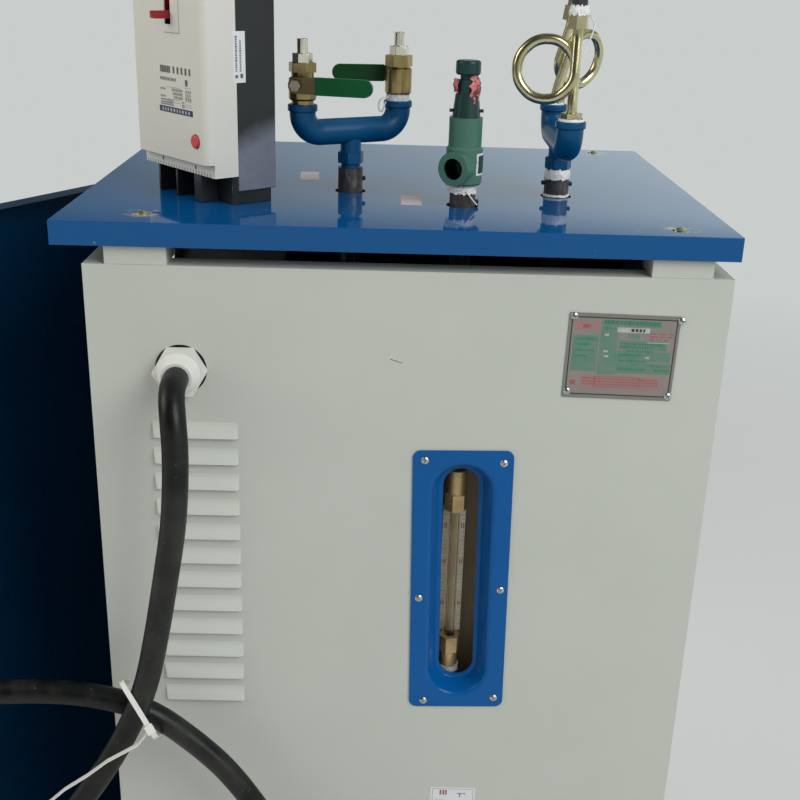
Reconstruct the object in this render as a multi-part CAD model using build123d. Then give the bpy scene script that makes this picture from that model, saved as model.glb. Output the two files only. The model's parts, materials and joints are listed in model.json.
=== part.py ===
from build123d import *
from math import atan2, cos, degrees, pi, radians, sin, sqrt, tan
import os

os.makedirs("parts", exist_ok=True)

# Electrically heated steam generator in a sheet metal cabinet.
# Millimetres. Origin: middle of the cabinet's footprint, on the floor.
# +X right as seen from the front, +Y to the back, +Z up.

# Cabinet
BODY_W = 600.0           # width of the painted body
BODY_D = 490.0           # depth of the painted body
BODY_TOP = 1209.5        # top of the body above the floor
SHEET = 1.5              # cabinet sheet
FLANGE = 29.0            # depth of the folded edge round the open top
PLATE = 3.0              # bottom plate
UPSTAND_H = 40.0         # folded edge of the bottom plate, inside the panels
FIT = 0.3                # clearance between parts that seat in one another

# Lid, a glossy pan on four folded spacers
LID_W = 628.0
LID_D = 505.0
LID_OVER_LEFT = 26.3     # how far the lid stands out over the left side
LID_OVER_FRONT = 6.3
LID_SKIRT = 22.5
LID_T = 1.2
LID_RISE = 40.5          # lid's top above the body's
LID_TOP = BODY_TOP + LID_RISE
SPACER_W = 57.0
SPACER_D = 42.0
SPACER_INSET = 20.5      # spacer's outer side from the body's side
SPACER_T = 1.5
STUB_HOLE_GAP = 3.0      # round each pipe where it comes through the lid

# Left side: door frame and door
FRAME_POST = 40.0        # width of the posts and the rails round the opening
DOOR_GAP = 5.0           # closed door to the side of the body
DOOR_T = 25.0            # depth of the folded door pan
DOOR_SHEET = 1.2
DOOR_EDGE_GAP = 4.0      # door's rear and upper edges to the body's corners
DOOR_OPEN = 30.0         # angle at which the door stands open
HINGE_BACK = 8.0         # hinge pin behind the body's back
HINGE_OUT = 12.0         # hinge pin outside the body's side
PIN_R = 2.5
KNUCKLE_R = 5.0
KNUCKLE_H = 24.0
LEAF_T = 2.5
LEAF_L = 30.0
HINGE_ENDS = 170.0       # hinges from the door's lower and upper edges
LATCH_R = 11.0
LATCH_OUT = 9.0
LATCH_EDGE = 32.0        # latch centre from the door's front edge
LATCH_BAR = 6.0          # how far its finger bar stands out
LATCH_BAR_W = 5.0

# Partition between the electrical side and the vessel
PARTITION_X = -140.0
PARTITION_TOP = BODY_TOP - 59.5
PARTITION_LIP = 15.0

# Vessel on its skirt ring
VESSEL_X = 55.0
VESSEL_Y = -20.0
VESSEL_R = 155.0
VESSEL_LOW = 190.0       # lower seam, where the bottom head starts
VESSEL_HIGH = BODY_TOP - 149.5   # upper seam
HEAD_H = 62.0            # depth of each dished head
SKIRT_T = 4.0
SKIRT_LAP = 30.0         # skirt reaches this far up past the lower seam

# Pipes that come up through the lid
RISER_R = 10.65
SOCKET_R = 12.8
SOCKET_UP = 24.3         # sockets of the two headers above the lid
SAFETY_SOCKET_UP = 12.0  # the safety valve's socket is shorter
SOCKET_DOWN = 21.0
STEAM_X = -61.0
STEAM_Y = -73.0
SAFETY_X = 52.3
SAFETY_Y = -134.0
GAUGE_X = 153.8
GAUGE_Y = -72.7

# Front panel: gland hole, louvres, gauge opening, rating plate
GLAND_X = -213.5
GLAND_Z = BODY_TOP - 100.5
GLAND_HOLE_R = 24.6
LOUVRES = 12
LOUVRE_PITCH = 27.3
LOUVRE_W = 82.0
LOUVRE_X = -202.0
LOUVRE_TOP_Z = BODY_TOP - 169.5
LOUVRE_H = 16.0          # height of each pressed hood
LOUVRE_OUT = 4.6         # how far its lower edge stands out
LOUVRE_CORNER = 4.2      # rounding of its two front corners
LOUVRE_SLOT = 3.6
PLATE_W = 104.5
PLATE_H = 84.0
PLATE_T = 0.8
PLATE_X = 201.3
PLATE_Z = BODY_TOP - 77.6
PLATE_CORNER = 1.5
PLATE_TURN = 1.1         # degrees clockwise, as it was fixed
ESC_W = 99.0
ESC_H = 296.5
ESC_T = 1.5
ESC_CORNER = 8.0
ESC_X = 60.5
ESC_Z = BODY_TOP - 325.5
ESC_TURN = 1.0           # degrees anticlockwise
DISH_W = 64.0            # pressed dish at the face
DISH_H = 269.0
DISH_DEPTH = 20.0
DISH_SLOPE = 9.0         # how far the dish wall closes in over its depth
DISH_LIP = 3.5           # flat lip round the slot
RIM_ROUND = 6.0          # where the face turns into the dish
LIP_ROUND = 2.5          # where the dish turns into its lip
DISH_GAP = 4.0           # opening in the panel round the dish

# Water gauge behind the dish
GLASS_X = 55.0
GLASS_Y = -212.0
GLASS_R = 5.5
GLASS_WALL = 1.5
NUT_AF = 20.5            # across flats of the gauge nuts
UPPER_NUT_Z = ESC_Z + 69.0       # lower face of the upper nut
LOWER_NUT_Z = ESC_Z - 80.0       # upper face of the lower nut
GAUGE_NUT_H = 18.5
COCK_R = 9.3
COCK_H = 26.0
TAIL_R = 8.0
SCALE_W = 23.0
SCALE_T = 1.0
SCALE_BEHIND = 7.0

# Cable gland
GLAND_AF = 44.0
GLAND_NUT_T = 14.0
GLAND_DOME_R = 20.5
GLAND_MOUTH_R = 14.5
GLAND_DOME_L = 12.0
GLAND_LOCKNUT_R = 27.0
GLAND_LOCKNUT_T = 7.0
GLAND_THREAD_R = 21.5    # loose in its hole
GLAND_THREAD_PAST = 4.0  # thread beyond the locknut
GLAND_SEAT = 6.0         # solid mouth that the cable meets
CABLE_R = 12.0

# Coil on the floor
COIL_R = 132.0           # middle of the turns
COIL_GAP = 60.0          # open part of the upper turn, degrees

# Cable tie round both runs where they cross
TIE_T = 1.3
TIE_W = 5.0
TIE_FRONT = (-254.5, -319, 778)      # where the strap lies round the front run
TIE_BACK = (-257.5, -294, 760.5)     # and round the rear run
TIE_ALONG = (0.464, 0, -0.886)       # its slope across the front run
TIE_HALF = 31.5          # half of the loop's inner width
TIE_GAP = 7.9            # loop's inner end to the cable
TIE_ROUND = 9.0
TIE_HEAD_W = 8.0
TIE_HEAD_L = 9.0
TIE_HEAD_H = 4.8
TAIL = [(-241, 773), (-252, 757), (-283, 737), (-304, 719), (-327, 702), (-352, 678)]
TAIL_ROUND = 14.0

# Steam header with its two ball valves
PIPE_R = 13.0            # outside of the blue malleable fittings
BEND_R = 19.5
BEAD_R = 14.8
BEAD_H = 7.0
BEAD_ROUND = 1.6
HEADER_LEN = 110.5       # between the two upright ends
HEADER_TURN = 31.0       # degrees from the front, right end further back
HEADER_Z = LID_TOP + 61.7        # centre line of the horizontal pipe
HEADER_TOP = LID_TOP + 90.0      # upper face of both ends
NECK_R = 10.6
NIPPLE_AF = 24.0
NIPPLE_NECK_IN = 0.8     # its neck is this much thinner than the branch
NIPPLE_LOW = 5.0         # round neck of the nipple under its hexagon
NIPPLE_HEX = 11.0
VALVE_LEN = 39.5
VALVE_STEM_UP = 19.7     # stem above the valve's lower end
VALVE_NECK_R = 11.0
VALVE_BODY_R = 13.7
VALVE_EDGE = 1.8         # chamfer of the barrel
LEFT_NECK_H = 3.8        # left valve, from its lower end
LEFT_BODY_H = 22.0
LEFT_HEX_H = 8.7
RIGHT_NECK_H = 1.0       # right valve, of another make
RIGHT_BODY_H = 26.5
RIGHT_HEX_H = 11.0
VALVE_HEX_AF = 24.5
TAPE_H = 5.5             # right valve sits this much higher on its thread tape
STEM_R = 3.0
STEM_COLLAR_R = 7.0
STEM_L = 26.0            # valve centre line to the end of the stem
LEVER_T = 2.4
SLEEVE_T = 1.2           # plastic sleeve on the lever
LEVER_H = 15.6
LEFT_LEVER_L = 76.0
LEFT_SLEEVE_START = 19.5     # where the sleeve begins, from the stem
RIGHT_LEVER_L = 66.0
RIGHT_SLEEVE_START = 12.5
LEVER_SEAT = 20.5        # valve centre line to the inner face of the lever
LEFT_VALVE_LOW = HEADER_TOP
RIGHT_VALVE_LOW = HEADER_TOP + TAPE_H
LEFT_STEM_TURN = -13.0   # degrees, stem of the left valve from straight ahead
RIGHT_STEM_TURN = 188.0  # the right valve's stem points to the back
STEM_NUT_AF = 10.0
STEM_NUT_T = 3.5
NOZZLE_HEX_AF = 17.5
NOZZLE_HEX_H = 9.0
NOZZLE_R = 5.5
NOZZLE_H = 13.5
NOZZLE_BORE = 3.4

# Safety valve
SAFETY_R = 16.2
SAFETY_LOW = LID_TOP + 21.5      # lower face of the body
SAFETY_SHOULDER = LID_TOP + 58.0
SAFETY_TOP = LID_TOP + 85.8
SAFETY_BULK_R = 18.0
SAFETY_EDGE = 1.7        # chamfer of the bulky lower half
OUTLET_TURN = -33.0      # outlet points forwards and to the left
OUTLET_Z = LID_TOP + 38.0
OUTLET_R = 16.4
OUTLET_BORE = 10.3
OUTLET_REACH = 22.0
OUTLET_DEEP = 26.0
BONNET_R = 13.7
BONNET_TOP_R = 11.3
BONNET_H = 22.0
BONNET_NECK_H = 13.0
BONNET_NECK_R = 9.8
CAP_NECK_R = 7.3
CAP_GAP = 4.5
CAP_R = 12.0
CAP_H = 13.5
CAP_ROUND = 2.5
SAFETY_PIN_R = 1.6
SAFETY_PIN_L = 33.0
SAFETY_PIN_Z = LID_TOP + 91.8

# Gauge header with its two siphons
GAUGE_HEADER_LEN = 141.0
GAUGE_HEADER_TURN = 89.0
GAUGE_HEADER_Z = LID_TOP + 57.5
GAUGE_HEADER_TOP = LID_TOP + 85.8
SIPHON_R = 5.0
LOOP_R = 27.3
LOOP_UP = 47.0           # loop centre above the top of the fitting
LOOP_APART = 14.0        # the loop's ends pass each other this far apart
LOOP_CORNERS = 8         # corners of the line that is rounded into the loop
LOOP_LEAD = 6.0          # straight tube past each nut
SIPHON_TOP = 84.5        # lower face of the top nut above the fitting
SIPHON_NUT_AF = 18.5
SIPHON_NUT_H = 7.5
TOP_NUT_AF = 17.0
TOP_NUT_H = 15.0
FRONT_LOOP_TURN = 171.0  # direction in which the front loop stands out
REAR_LOOP_TURN = 39.0
REAR_LEAN = 8.0          # degrees, the rear siphon leans to the right

# Pressure gauge and pressure switch above the siphons
DIAL_R = 50.0
DIAL_T = 28.0
DIAL_STEM_AF = 14.0
DIAL_STEM_H = 20.0
DIAL_STEM_R = 6.0
DIAL_SEAT = 18.0         # top nut to the dial case
DIAL_ROUND = 3.0
SWITCH_W = 52.0
SWITCH_D = 44.0
SWITCH_H = 92.0
SWITCH_BASE_R = 15.0
SWITCH_STEM_H = 10.0
SWITCH_BASE_H = 14.0
SWITCH_ROUND = 5.0

# Circuit breaker standing on the lid
BREAKER_TURN = -49.8     # direction of its front, from left to right
BREAKER_X = 129.1 - BODY_W / 2       # front right lower corner of its foot
BREAKER_Y = 80.3 - BODY_D / 2
FOOT_W = 127.0
FOOT_D = 44.7
FOOT_H = 12.8
BASE_FRONT = 5.9         # base's front behind the foot's front
BASE_BACK = 48.8
BASE_OUT = 2.0           # base stands out past the foot at each side
BREAKER_H = 256.0
POLES = 3
POLE_PITCH = 34.0
WALL_RIGHT = 5.0         # right-hand wall between the terminals, from the foot's right side
WALL_T = 3.0
THICK_WALL = 13.0        # the first wall from the right is a thicker one
WALL_OUT = 19.5          # walls stand out under the terminal strip
COVER_LOW = 27.4
COVER_FRONT = 20.6       # terminal strip in front of the foot
FACE_FRONT = 29.9        # raised face in front of the foot
FACE_LOW = 40.1
FACE_ROUND = 7.0
HANDLE_S = 61.0          # handle slot's centre line from the cover's right side
SLOT_W = 11.0
TOGGLE_Z = 189.0         # level of the toggle's pin
SLOT_LOW = TOGGLE_Z - 25.2
SLOT_HIGH = TOGGLE_Z + 24.0
HANDLE_W = 8.4
HANDLE_OUT = 16.7        # finger's end in front of the face
HANDLE_DOWN = 16.6       # finger's middle below the pin
HANDLE_PIVOT_IN = 24.0
HANDLE_SWEEP = 44.0
HANDLE_HUB_R = 6.0
HANDLE_T = 7.0
HANDLE_ROUND = 2.5
SHIELD_R = 19.0          # curved shield that fills the slot behind the finger
SHIELD_T = 2.5
SHIELD_ARC = 130.0
SHIELD_LOW = 72.0        # degrees below level that it reaches down to
ARM_TURN = 45.0          # degrees that the arm behind it points down
SLOT_FLOOR = 4.0         # cover left behind the slot
TOGGLE_PIN_R = 2.0
TOGGLE_PIN_L = 21.0      # the toggle's pin reaches into the cover on both sides
BUTTON_S = 17.0
BUTTON_Z = 61.0
BUTTON_R = 6.2
BUTTON_GAP = 0.6
BUTTON_OUT = 2.5
BUTTON_TRAVEL = 2.0
BUTTON_IN = 9.0
BUTTON_FLOOR = 1.0       # left behind the button at the end of its travel
BUTTON_ROUND = 1.2

# Worked out from the above
LEFT = -BODY_W / 2
RIGHT = BODY_W / 2
FRONT = -BODY_D / 2
BACK = BODY_D / 2
LID_LEFT = LEFT - LID_OVER_LEFT
LID_FRONT = FRONT - LID_OVER_FRONT
LID_LOW = LID_TOP - LID_T
STUB_TOP = LID_TOP + SOCKET_UP
HINGE_X = LEFT - HINGE_OUT
HINGE_Y = BACK + HINGE_BACK
GLAND_MOUTH_Y = FRONT - GLAND_NUT_T - GLAND_DOME_L


def block(x0, x1, y0, y1, z0, z1):
    """A rectangular block between two corners."""
    size = Box(x1 - x0, y1 - y0, z1 - z0)
    return Pos((x0 + x1) / 2, (y0 + y1) / 2, (z0 + z1) / 2) * size


def rod(x, y, z0, z1, r):
    """An upright round bar."""
    return Pos(x, y, (z0 + z1) / 2) * Cylinder(r, z1 - z0)


def across(x, y0, y1, z, r):
    """A round bar along Y."""
    return Pos(x, (y0 + y1) / 2, z) * Rot(90, 0, 0) * Cylinder(r, y1 - y0)


def hexagon(x, y, z0, z1, flats, turn=0.0):
    """An upright hexagon bar, by its size across flats."""
    outline = RegularPolygon(flats / 2, 6, major_radius=False)
    return Pos(x, y, z0) * Rot(0, 0, turn) * extrude(outline, z1 - z0)


def on_lid(x, y, turn, part):
    """Places a part, drawn at the origin, at a point of the plan."""
    return Pos(x, y, 0) * Rot(0, 0, turn) * part


def base_tray():
    tray = block(LEFT, RIGHT, FRONT, BACK, 0, PLATE)
    gap = SHEET + FIT
    outer = block(LEFT + gap, RIGHT - gap, FRONT + gap, BACK - gap, PLATE, UPSTAND_H)
    gap += PLATE
    inner = block(LEFT + gap, RIGHT - gap, FRONT + gap, BACK - gap, PLATE, UPSTAND_H)
    return tray + (outer - inner)


def louvre_block(grow, z):
    """Upright block with rounded front corners that a hood, or its hollow, is cut from."""
    plan = RectangleRounded(LOUVRE_W + 2 * grow, 2 * (LOUVRE_OUT + grow), LOUVRE_CORNER + grow)
    front = extrude(Pos(LOUVRE_X, FRONT, z) * plan, LOUVRE_H)
    return front - block(LEFT, RIGHT, FRONT, FRONT + LOUVRE_H, z, z + LOUVRE_H)


def louvre(z):
    """One pressed hood, open along its lower edge and fading out at the top."""
    r = (LOUVRE_H**2 + LOUVRE_OUT**2) / (2 * LOUVRE_OUT)
    middle = Pos(LOUVRE_X, FRONT - LOUVRE_OUT + r, z) * Rot(0, 90, 0)
    hood = middle * Cylinder(r, LOUVRE_W) & louvre_block(0, z)
    return hood - (middle * Cylinder(r - SHEET, LOUVRE_W) & louvre_block(-SHEET, z))


def louvre_slot(z):
    half = LOUVRE_W / 2 - SHEET
    return block(LOUVRE_X - half, LOUVRE_X + half, FRONT, FRONT + SHEET, z, z + LOUVRE_SLOT)


def obround(width, height):
    """Upright slot outline, on its own middle."""
    return Rot(0, 0, 90) * SlotOverall(height, width)


def on_front(x, y, z, turn, sketch):
    """Stands a flat outline up in a plane parallel to the front, facing it."""
    return Pos(x, y, z) * Rot(90, 0, 0) * Rot(0, 0, turn) * sketch


def front_panel():
    panel = block(LEFT, RIGHT, FRONT, FRONT + SHEET, PLATE, BODY_TOP)
    panel += block(
        LEFT + SHEET, RIGHT - SHEET, FRONT + SHEET, FRONT + FLANGE, BODY_TOP - SHEET, BODY_TOP
    )
    panel -= across(GLAND_X, FRONT - 1, FRONT + 2 * SHEET, GLAND_Z, GLAND_HOLE_R)
    hole = obround(DISH_W + 2 * DISH_GAP, DISH_H + 2 * DISH_GAP)
    panel -= extrude(on_front(ESC_X, FRONT + 2 * SHEET, ESC_Z, ESC_TURN, hole), 4 * SHEET)
    for row in range(LOUVRES):
        z = LOUVRE_TOP_Z - row * LOUVRE_PITCH
        panel -= louvre_slot(z)
        panel += louvre(z)
    return panel


def right_panel():
    panel = block(RIGHT - SHEET, RIGHT, FRONT + SHEET, BACK - SHEET, PLATE, BODY_TOP)
    flange = block(
        RIGHT - FLANGE, RIGHT - SHEET, FRONT + FLANGE, BACK - FLANGE, BODY_TOP - SHEET, BODY_TOP
    )
    return panel + flange


def back_panel():
    panel = block(LEFT, RIGHT, BACK - SHEET, BACK, PLATE, BODY_TOP)
    return panel + block(
        LEFT + SHEET, RIGHT - SHEET, BACK - FLANGE, BACK - SHEET, BODY_TOP - SHEET, BODY_TOP
    )


def left_frame():
    """Sheet frame round the doorway in the left side."""
    y0 = FRONT + SHEET
    y1 = BACK - SHEET
    side = block(LEFT, LEFT + SHEET, y0, y1, PLATE, BODY_TOP)
    side -= block(
        LEFT - 1, LEFT + 2 * SHEET, y0 + FRAME_POST, y1 - FRAME_POST,
        PLATE + FRAME_POST, BODY_TOP - FRAME_POST,
    )
    side += block(
        LEFT + SHEET, LEFT + FLANGE, FRONT + FLANGE, BACK - FLANGE, BODY_TOP - SHEET, BODY_TOP
    )
    return side


def partition():
    y0 = FRONT + SHEET
    y1 = BACK - SHEET
    wall = block(PARTITION_X, PARTITION_X + SHEET, y0, y1, UPSTAND_H, PARTITION_TOP)
    x1 = PARTITION_X + PARTITION_LIP
    wall += block(PARTITION_X, x1, y0, y0 + SHEET, UPSTAND_H, PARTITION_TOP)
    wall += block(PARTITION_X, x1, y1 - SHEET, y1, UPSTAND_H, PARTITION_TOP)
    return wall


def vessel_shape(grow=0.0):
    """Upright drum with two dished heads, by revolving half its outline."""
    r = VESSEL_R + grow
    low = VESSEL_LOW
    high = VESSEL_HIGH
    rise = HEAD_H + grow
    drum = Pos(VESSEL_X, VESSEL_Y, (low + high) / 2) * Cylinder(r, high - low)
    sphere_r = (r * r + rise * rise) / (2 * rise)
    for seam, way in ((high, 1), (low, -1)):
        ball = Pos(VESSEL_X, VESSEL_Y, seam + way * (rise - sphere_r)) * Sphere(sphere_r)
        z0, z1 = sorted((seam, seam + way * (rise + 1)))
        drum += ball & rod(VESSEL_X, VESSEL_Y, z0, z1, r)
    return drum


def vessel_skirt():
    top = VESSEL_LOW + SKIRT_LAP
    bore = VESSEL_R + FIT
    ring = rod(VESSEL_X, VESSEL_Y, PLATE, top, bore + SKIRT_T)
    return ring - rod(VESSEL_X, VESSEL_Y, PLATE, top, bore)


def riser(x, y, up):
    pipe = rod(x, y, VESSEL_HIGH - HEAD_H, LID_LOW - SOCKET_DOWN, RISER_R)
    pipe -= vessel_shape(FIT)
    return pipe + rod(x, y, LID_LOW - SOCKET_DOWN, LID_TOP + up, SOCKET_R)


def riser_pipes():
    steam = riser(STEAM_X, STEAM_Y, SOCKET_UP)
    safety = riser(SAFETY_X, SAFETY_Y, SAFETY_SOCKET_UP)
    gauge = riser(GAUGE_X, GAUGE_Y, SOCKET_UP)
    return Compound([steam.solid(), safety.solid(), gauge.solid()])


def lid():
    x1 = LID_LEFT + LID_W
    y1 = LID_FRONT + LID_D
    pan = block(LID_LEFT, x1, LID_FRONT, y1, LID_TOP - LID_SKIRT, LID_TOP)
    pan -= block(
        LID_LEFT + LID_T, x1 - LID_T, LID_FRONT + LID_T, y1 - LID_T, LID_TOP - LID_SKIRT, LID_LOW
    )
    for x, y in ((STEAM_X, STEAM_Y), (SAFETY_X, SAFETY_Y), (GAUGE_X, GAUGE_Y)):
        pan -= rod(x, y, LID_LOW - 1, LID_TOP + 1, SOCKET_R + STUB_HOLE_GAP)
    return pan


def lid_spacers():
    """Four folded channels that carry the lid, open towards the middle."""
    spacers = []
    for side in (-1, 1):
        for end in (-1, 1):
            outer = side * (RIGHT - SPACER_INSET)
            inner = outer - side * SPACER_W
            x0, x1 = sorted((outer, inner))
            y_out = end * BACK
            y_in = y_out - end * SPACER_D
            y0, y1 = sorted((y_out, y_in))
            box = block(x0, x1, y0, y1, BODY_TOP, LID_LOW)
            hollow_y = sorted((y_out - end * SPACER_T, y_in - end * SPACER_T))
            hollow = block(
                x0 + SPACER_T, x1 - SPACER_T, hollow_y[0], hollow_y[1], BODY_TOP, LID_LOW - SPACER_T
            )
            spacers.append((box - hollow).solid())
    return Compound(spacers)


def loop_at(part, level, width, height):
    """Edges of the slot-shaped loop of this size at this level of the flat plate."""
    found = []
    for edge in part.edges().filter_by_position(Axis.Z, level - FIT, level + FIT):
        middle = edge.center()
        off = max(abs(middle.X) - width / 2, abs(middle.Y) - height / 2)
        if abs(off) < 1:
            found.append(edge)
    return found


def gauge_escutcheon():
    """Pressed plate with a deep dish whose bottom is open as a slot, drawn flat and stood up."""
    thick = 2 * ESC_T
    hole = obround(DISH_W - thick, DISH_H - thick)
    plate = extrude(RectangleRounded(ESC_W, ESC_H, ESC_CORNER) - hole, ESC_T)
    low_w = DISH_W - 2 * DISH_SLOPE
    low_h = DISH_H - 2 * DISH_SLOPE
    top = Pos(0, 0, ESC_T)
    low = Pos(0, 0, -DISH_DEPTH)
    floor = obround(low_w - thick, low_h - thick)
    outside = loft([(top * obround(DISH_W, DISH_H)).face(), (low * obround(low_w, low_h)).face()])
    inside = loft([(top * hole).face(), (low * floor).face()])
    slot = obround(low_w - thick - 2 * DISH_LIP, low_h - thick - 2 * DISH_LIP)
    part = plate + (outside - inside) + extrude(low * (obround(low_w, low_h) - slot), ESC_T)
    part = fillet(loop_at(part, 0, DISH_W, DISH_H), RIM_ROUND - ESC_T)
    part = fillet(loop_at(part, ESC_T, DISH_W - thick, DISH_H - thick), RIM_ROUND)
    part = fillet(loop_at(part, ESC_T - DISH_DEPTH, low_w - thick, low_h - thick), LIP_ROUND)
    return on_front(ESC_X, FRONT, ESC_Z, ESC_TURN, part)


def gauge_nut(z0, z1):
    return hexagon(GLASS_X, GLASS_Y, z0, z1, NUT_AF, 12)


def gauge_glass():
    z0 = LOWER_NUT_Z - GAUGE_NUT_H / 2
    z1 = UPPER_NUT_Z + GAUGE_NUT_H / 2
    tube = rod(GLASS_X, GLASS_Y, z0, z1, GLASS_R)
    return tube - rod(GLASS_X, GLASS_Y, z0, z1, GLASS_R - GLASS_WALL)


def gauge_cock(nut_z, way):
    """Brass end of the water gauge, with its tail into the vessel."""
    z_far = nut_z + way * GAUGE_NUT_H
    z_end = z_far + way * COCK_H
    z0, z1 = sorted((nut_z, z_far))
    cock = gauge_nut(z0, z1)
    z0, z1 = sorted((z_far, z_end))
    cock += rod(GLASS_X, GLASS_Y, z0, z1, COCK_R)
    z_tail = z_far + way * COCK_H / 2
    cock += across(GLASS_X, GLASS_Y, VESSEL_Y, z_tail, TAIL_R)
    cock -= vessel_shape(FIT)
    bore0, bore1 = sorted((nut_z - way, nut_z + way * GAUGE_NUT_H / 2))
    cock -= rod(GLASS_X, GLASS_Y, bore0, bore1, GLASS_R + FIT)
    return cock.solids().sort_by(Axis.Y)[0]


def gauge_scale():
    y = GLASS_Y + SCALE_BEHIND
    z0 = LOWER_NUT_Z + FIT
    z1 = UPPER_NUT_Z - FIT
    return block(GLASS_X - SCALE_W / 2, GLASS_X + SCALE_W / 2, y, y + SCALE_T, z0, z1)


def rating_plate():
    outline = RectangleRounded(PLATE_W, PLATE_H, PLATE_CORNER)
    return extrude(on_front(PLATE_X, FRONT, PLATE_Z, -PLATE_TURN, outline), PLATE_T)


def cable_gland():
    """Nylon gland: hexagon and domed clamping nut, with its locknut behind the panel."""
    hexa = RegularPolygon(GLAND_AF / 2, 6, major_radius=False)
    gland = extrude(on_front(GLAND_X, FRONT, GLAND_Z, 0, hexa), GLAND_NUT_T)
    dome = Cone(GLAND_DOME_R, GLAND_MOUTH_R, GLAND_DOME_L)
    y = FRONT - GLAND_NUT_T - GLAND_DOME_L / 2
    gland += Pos(GLAND_X, y, GLAND_Z) * Rot(90, 0, 0) * dome
    thread_end = FRONT + SHEET + GLAND_LOCKNUT_T + GLAND_THREAD_PAST
    gland += across(GLAND_X, FRONT, thread_end, GLAND_Z, GLAND_THREAD_R)
    nut_y = FRONT + SHEET + FIT
    gland += across(GLAND_X, nut_y, nut_y + GLAND_LOCKNUT_T, GLAND_Z, GLAND_LOCKNUT_R)
    seat = GLAND_MOUTH_Y + GLAND_SEAT
    gland -= across(GLAND_X, seat, thread_end, GLAND_Z, CABLE_R)
    return gland


# Supply cable: out of the gland, down the front, one loop to the left,
# back behind itself at the tie, then down to the coil on the floor.
ROUTE = [
    (GLAND_X, GLAND_MOUTH_Y, GLAND_Z), (GLAND_X, -289, GLAND_Z), (-212, -306, 1102),
    (-209, -318, 1086),
    (-207, -324, 1060), (-208, -326, 1024), (-212, -325, 982), (-221, -323, 932),
    (-232, -321, 872), (-247, -319, 803), (-273, -319, 740), (-315, -321, 671),
    (-361, -322, 606), (-408, -322, 541), (-458, -321, 511), (-514, -319, 506),
    (-566, -317, 526), (-606, -314, 566), (-627, -311, 618), (-625, -308, 674),
    (-600, -305, 723), (-556, -302, 755), (-500, -299, 770), (-438, -297, 776),
    (-370, -295, 780), (-309, -294, 777), (-252, -294, 760), (-204, -294, 719),
    (-168, -297, 682), (-130, -301, 622), (-108, -308, 556), (-97, -318, 486),
    (-92, -329, 412), (-93, -341, 338), (-97, -356, 266), (-106, -377, 197),
    (-120, -405, 136), (-142, -441, 86), (-173, -486, 54), (-214, -533, 36),
    (-258, -574, 36),
]


def rounded_route(points):
    """Straight runs joined by arcs as large as the runs allow."""
    pts = [Vector(*p) for p in points]
    radii = []
    for a, b, c in zip(pts, pts[1:], pts[2:]):
        turn = radians((b - a).get_angle(c - b))
        run = min((b - a).length, (c - b).length)
        radii.append(0.45 * run / tan(turn / 2))
    return FilletPolyline(*pts, radius=radii), radii


def power_cable():
    path, radii = rounded_route(ROUTE)
    print("cable bends, mm:", [round(r) for r in radii])
    print("cable tube length, mm:", round(path.length, 1))
    start = Plane(origin=path @ 0, z_dir=path % 0)
    tube = sweep(start * Circle(CABLE_R), path=path)
    share = tube.volume / (pi * CABLE_R**2 * path.length)
    print("tube volume over section times length:", round(share, 4))
    return tube


def coil_centre():
    end = Vector(*ROUTE[-1])
    way = end - Vector(*ROUTE[-2])
    way = Vector(way.X, way.Y, 0).normalized()
    side = Vector(-way.Y, way.X, 0)
    return Vector(end.X, end.Y, 0) + side * COIL_R, side


def cable_coil():
    """Two turns lying on each other; the cable comes in on the upper one."""
    centre, side = coil_centre()
    low = rod(centre.X, centre.Y, 0, 2 * CABLE_R - FIT, COIL_R + CABLE_R)
    low -= rod(centre.X, centre.Y, 0, 2 * CABLE_R - FIT, COIL_R - CABLE_R)
    section = Pos(COIL_R, 0, 3 * CABLE_R - FIT / 2) * Rot(90, 0, 0) * Rectangle(
        2 * CABLE_R, 2 * CABLE_R + FIT
    )
    start = degrees(atan2(-side.Y, -side.X))
    turn = revolve(section, Axis.Z, 360 - COIL_GAP)
    turn = Pos(centre.X, centre.Y, 0) * Rot(0, 0, start) * turn
    return low + turn


def cable_tie():
    """White strap round both runs where they cross, with its head and long tail."""
    front = Vector(*TIE_FRONT)
    back = Vector(*TIE_BACK)
    inward = (back - front).normalized()
    along = Vector(*TIE_ALONG)
    along = (along - inward * along.dot(inward)).normalized()
    loop = Plane(origin=(front + back) * 0.5, x_dir=along, z_dir=along.cross(inward))
    half_y = (back - front).length / 2 + CABLE_R + TIE_GAP
    outer = RectangleRounded(2 * (TIE_HALF + TIE_T), 2 * (half_y + TIE_T), TIE_ROUND + TIE_T)
    inner = RectangleRounded(2 * TIE_HALF, 2 * half_y, TIE_ROUND)
    band = extrude(outer - inner, TIE_W / 2, both=True)
    head = Pos(TIE_HALF - TIE_ROUND, -half_y - TIE_HEAD_H / 2, 0)
    strip = trace(FilletPolyline(*TAIL, radius=TAIL_ROUND), TIE_T)
    tail_y = (loop * head).position.Y + TIE_W / 2
    tail = Pos(0, tail_y, 0) * Rot(90, 0, 0) * extrude(strip, TIE_W)
    return loop * (band + head * Box(TIE_HEAD_L, TIE_HEAD_H, TIE_HEAD_W)) + tail


def elbow_header(length, top, level):
    """U of pipe along X: two upright beaded ends and a branch in the middle."""
    half = length / 2
    line = FilletPolyline(
        (-half, 0, top - level), (-half, 0, 0), (half, 0, 0), (half, 0, top - level), radius=BEND_R
    )
    pipe = sweep(Plane(origin=line @ 0, z_dir=line % 0) * Circle(PIPE_R), path=line)
    for x in (-half, half):
        bead = Pos(x, 0, top - level - BEAD_H / 2) * Cylinder(BEAD_R, BEAD_H)
        pipe += fillet(bead.edges().filter_by(GeomType.CIRCLE), BEAD_ROUND)
    pipe = Pos(0, 0, level) * pipe
    return pipe


def header_branch(level):
    """Neck of the branch, down to the nipple's hexagon."""
    return rod(0, 0, STUB_TOP + NIPPLE_LOW + NIPPLE_HEX, level, NECK_R)


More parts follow.
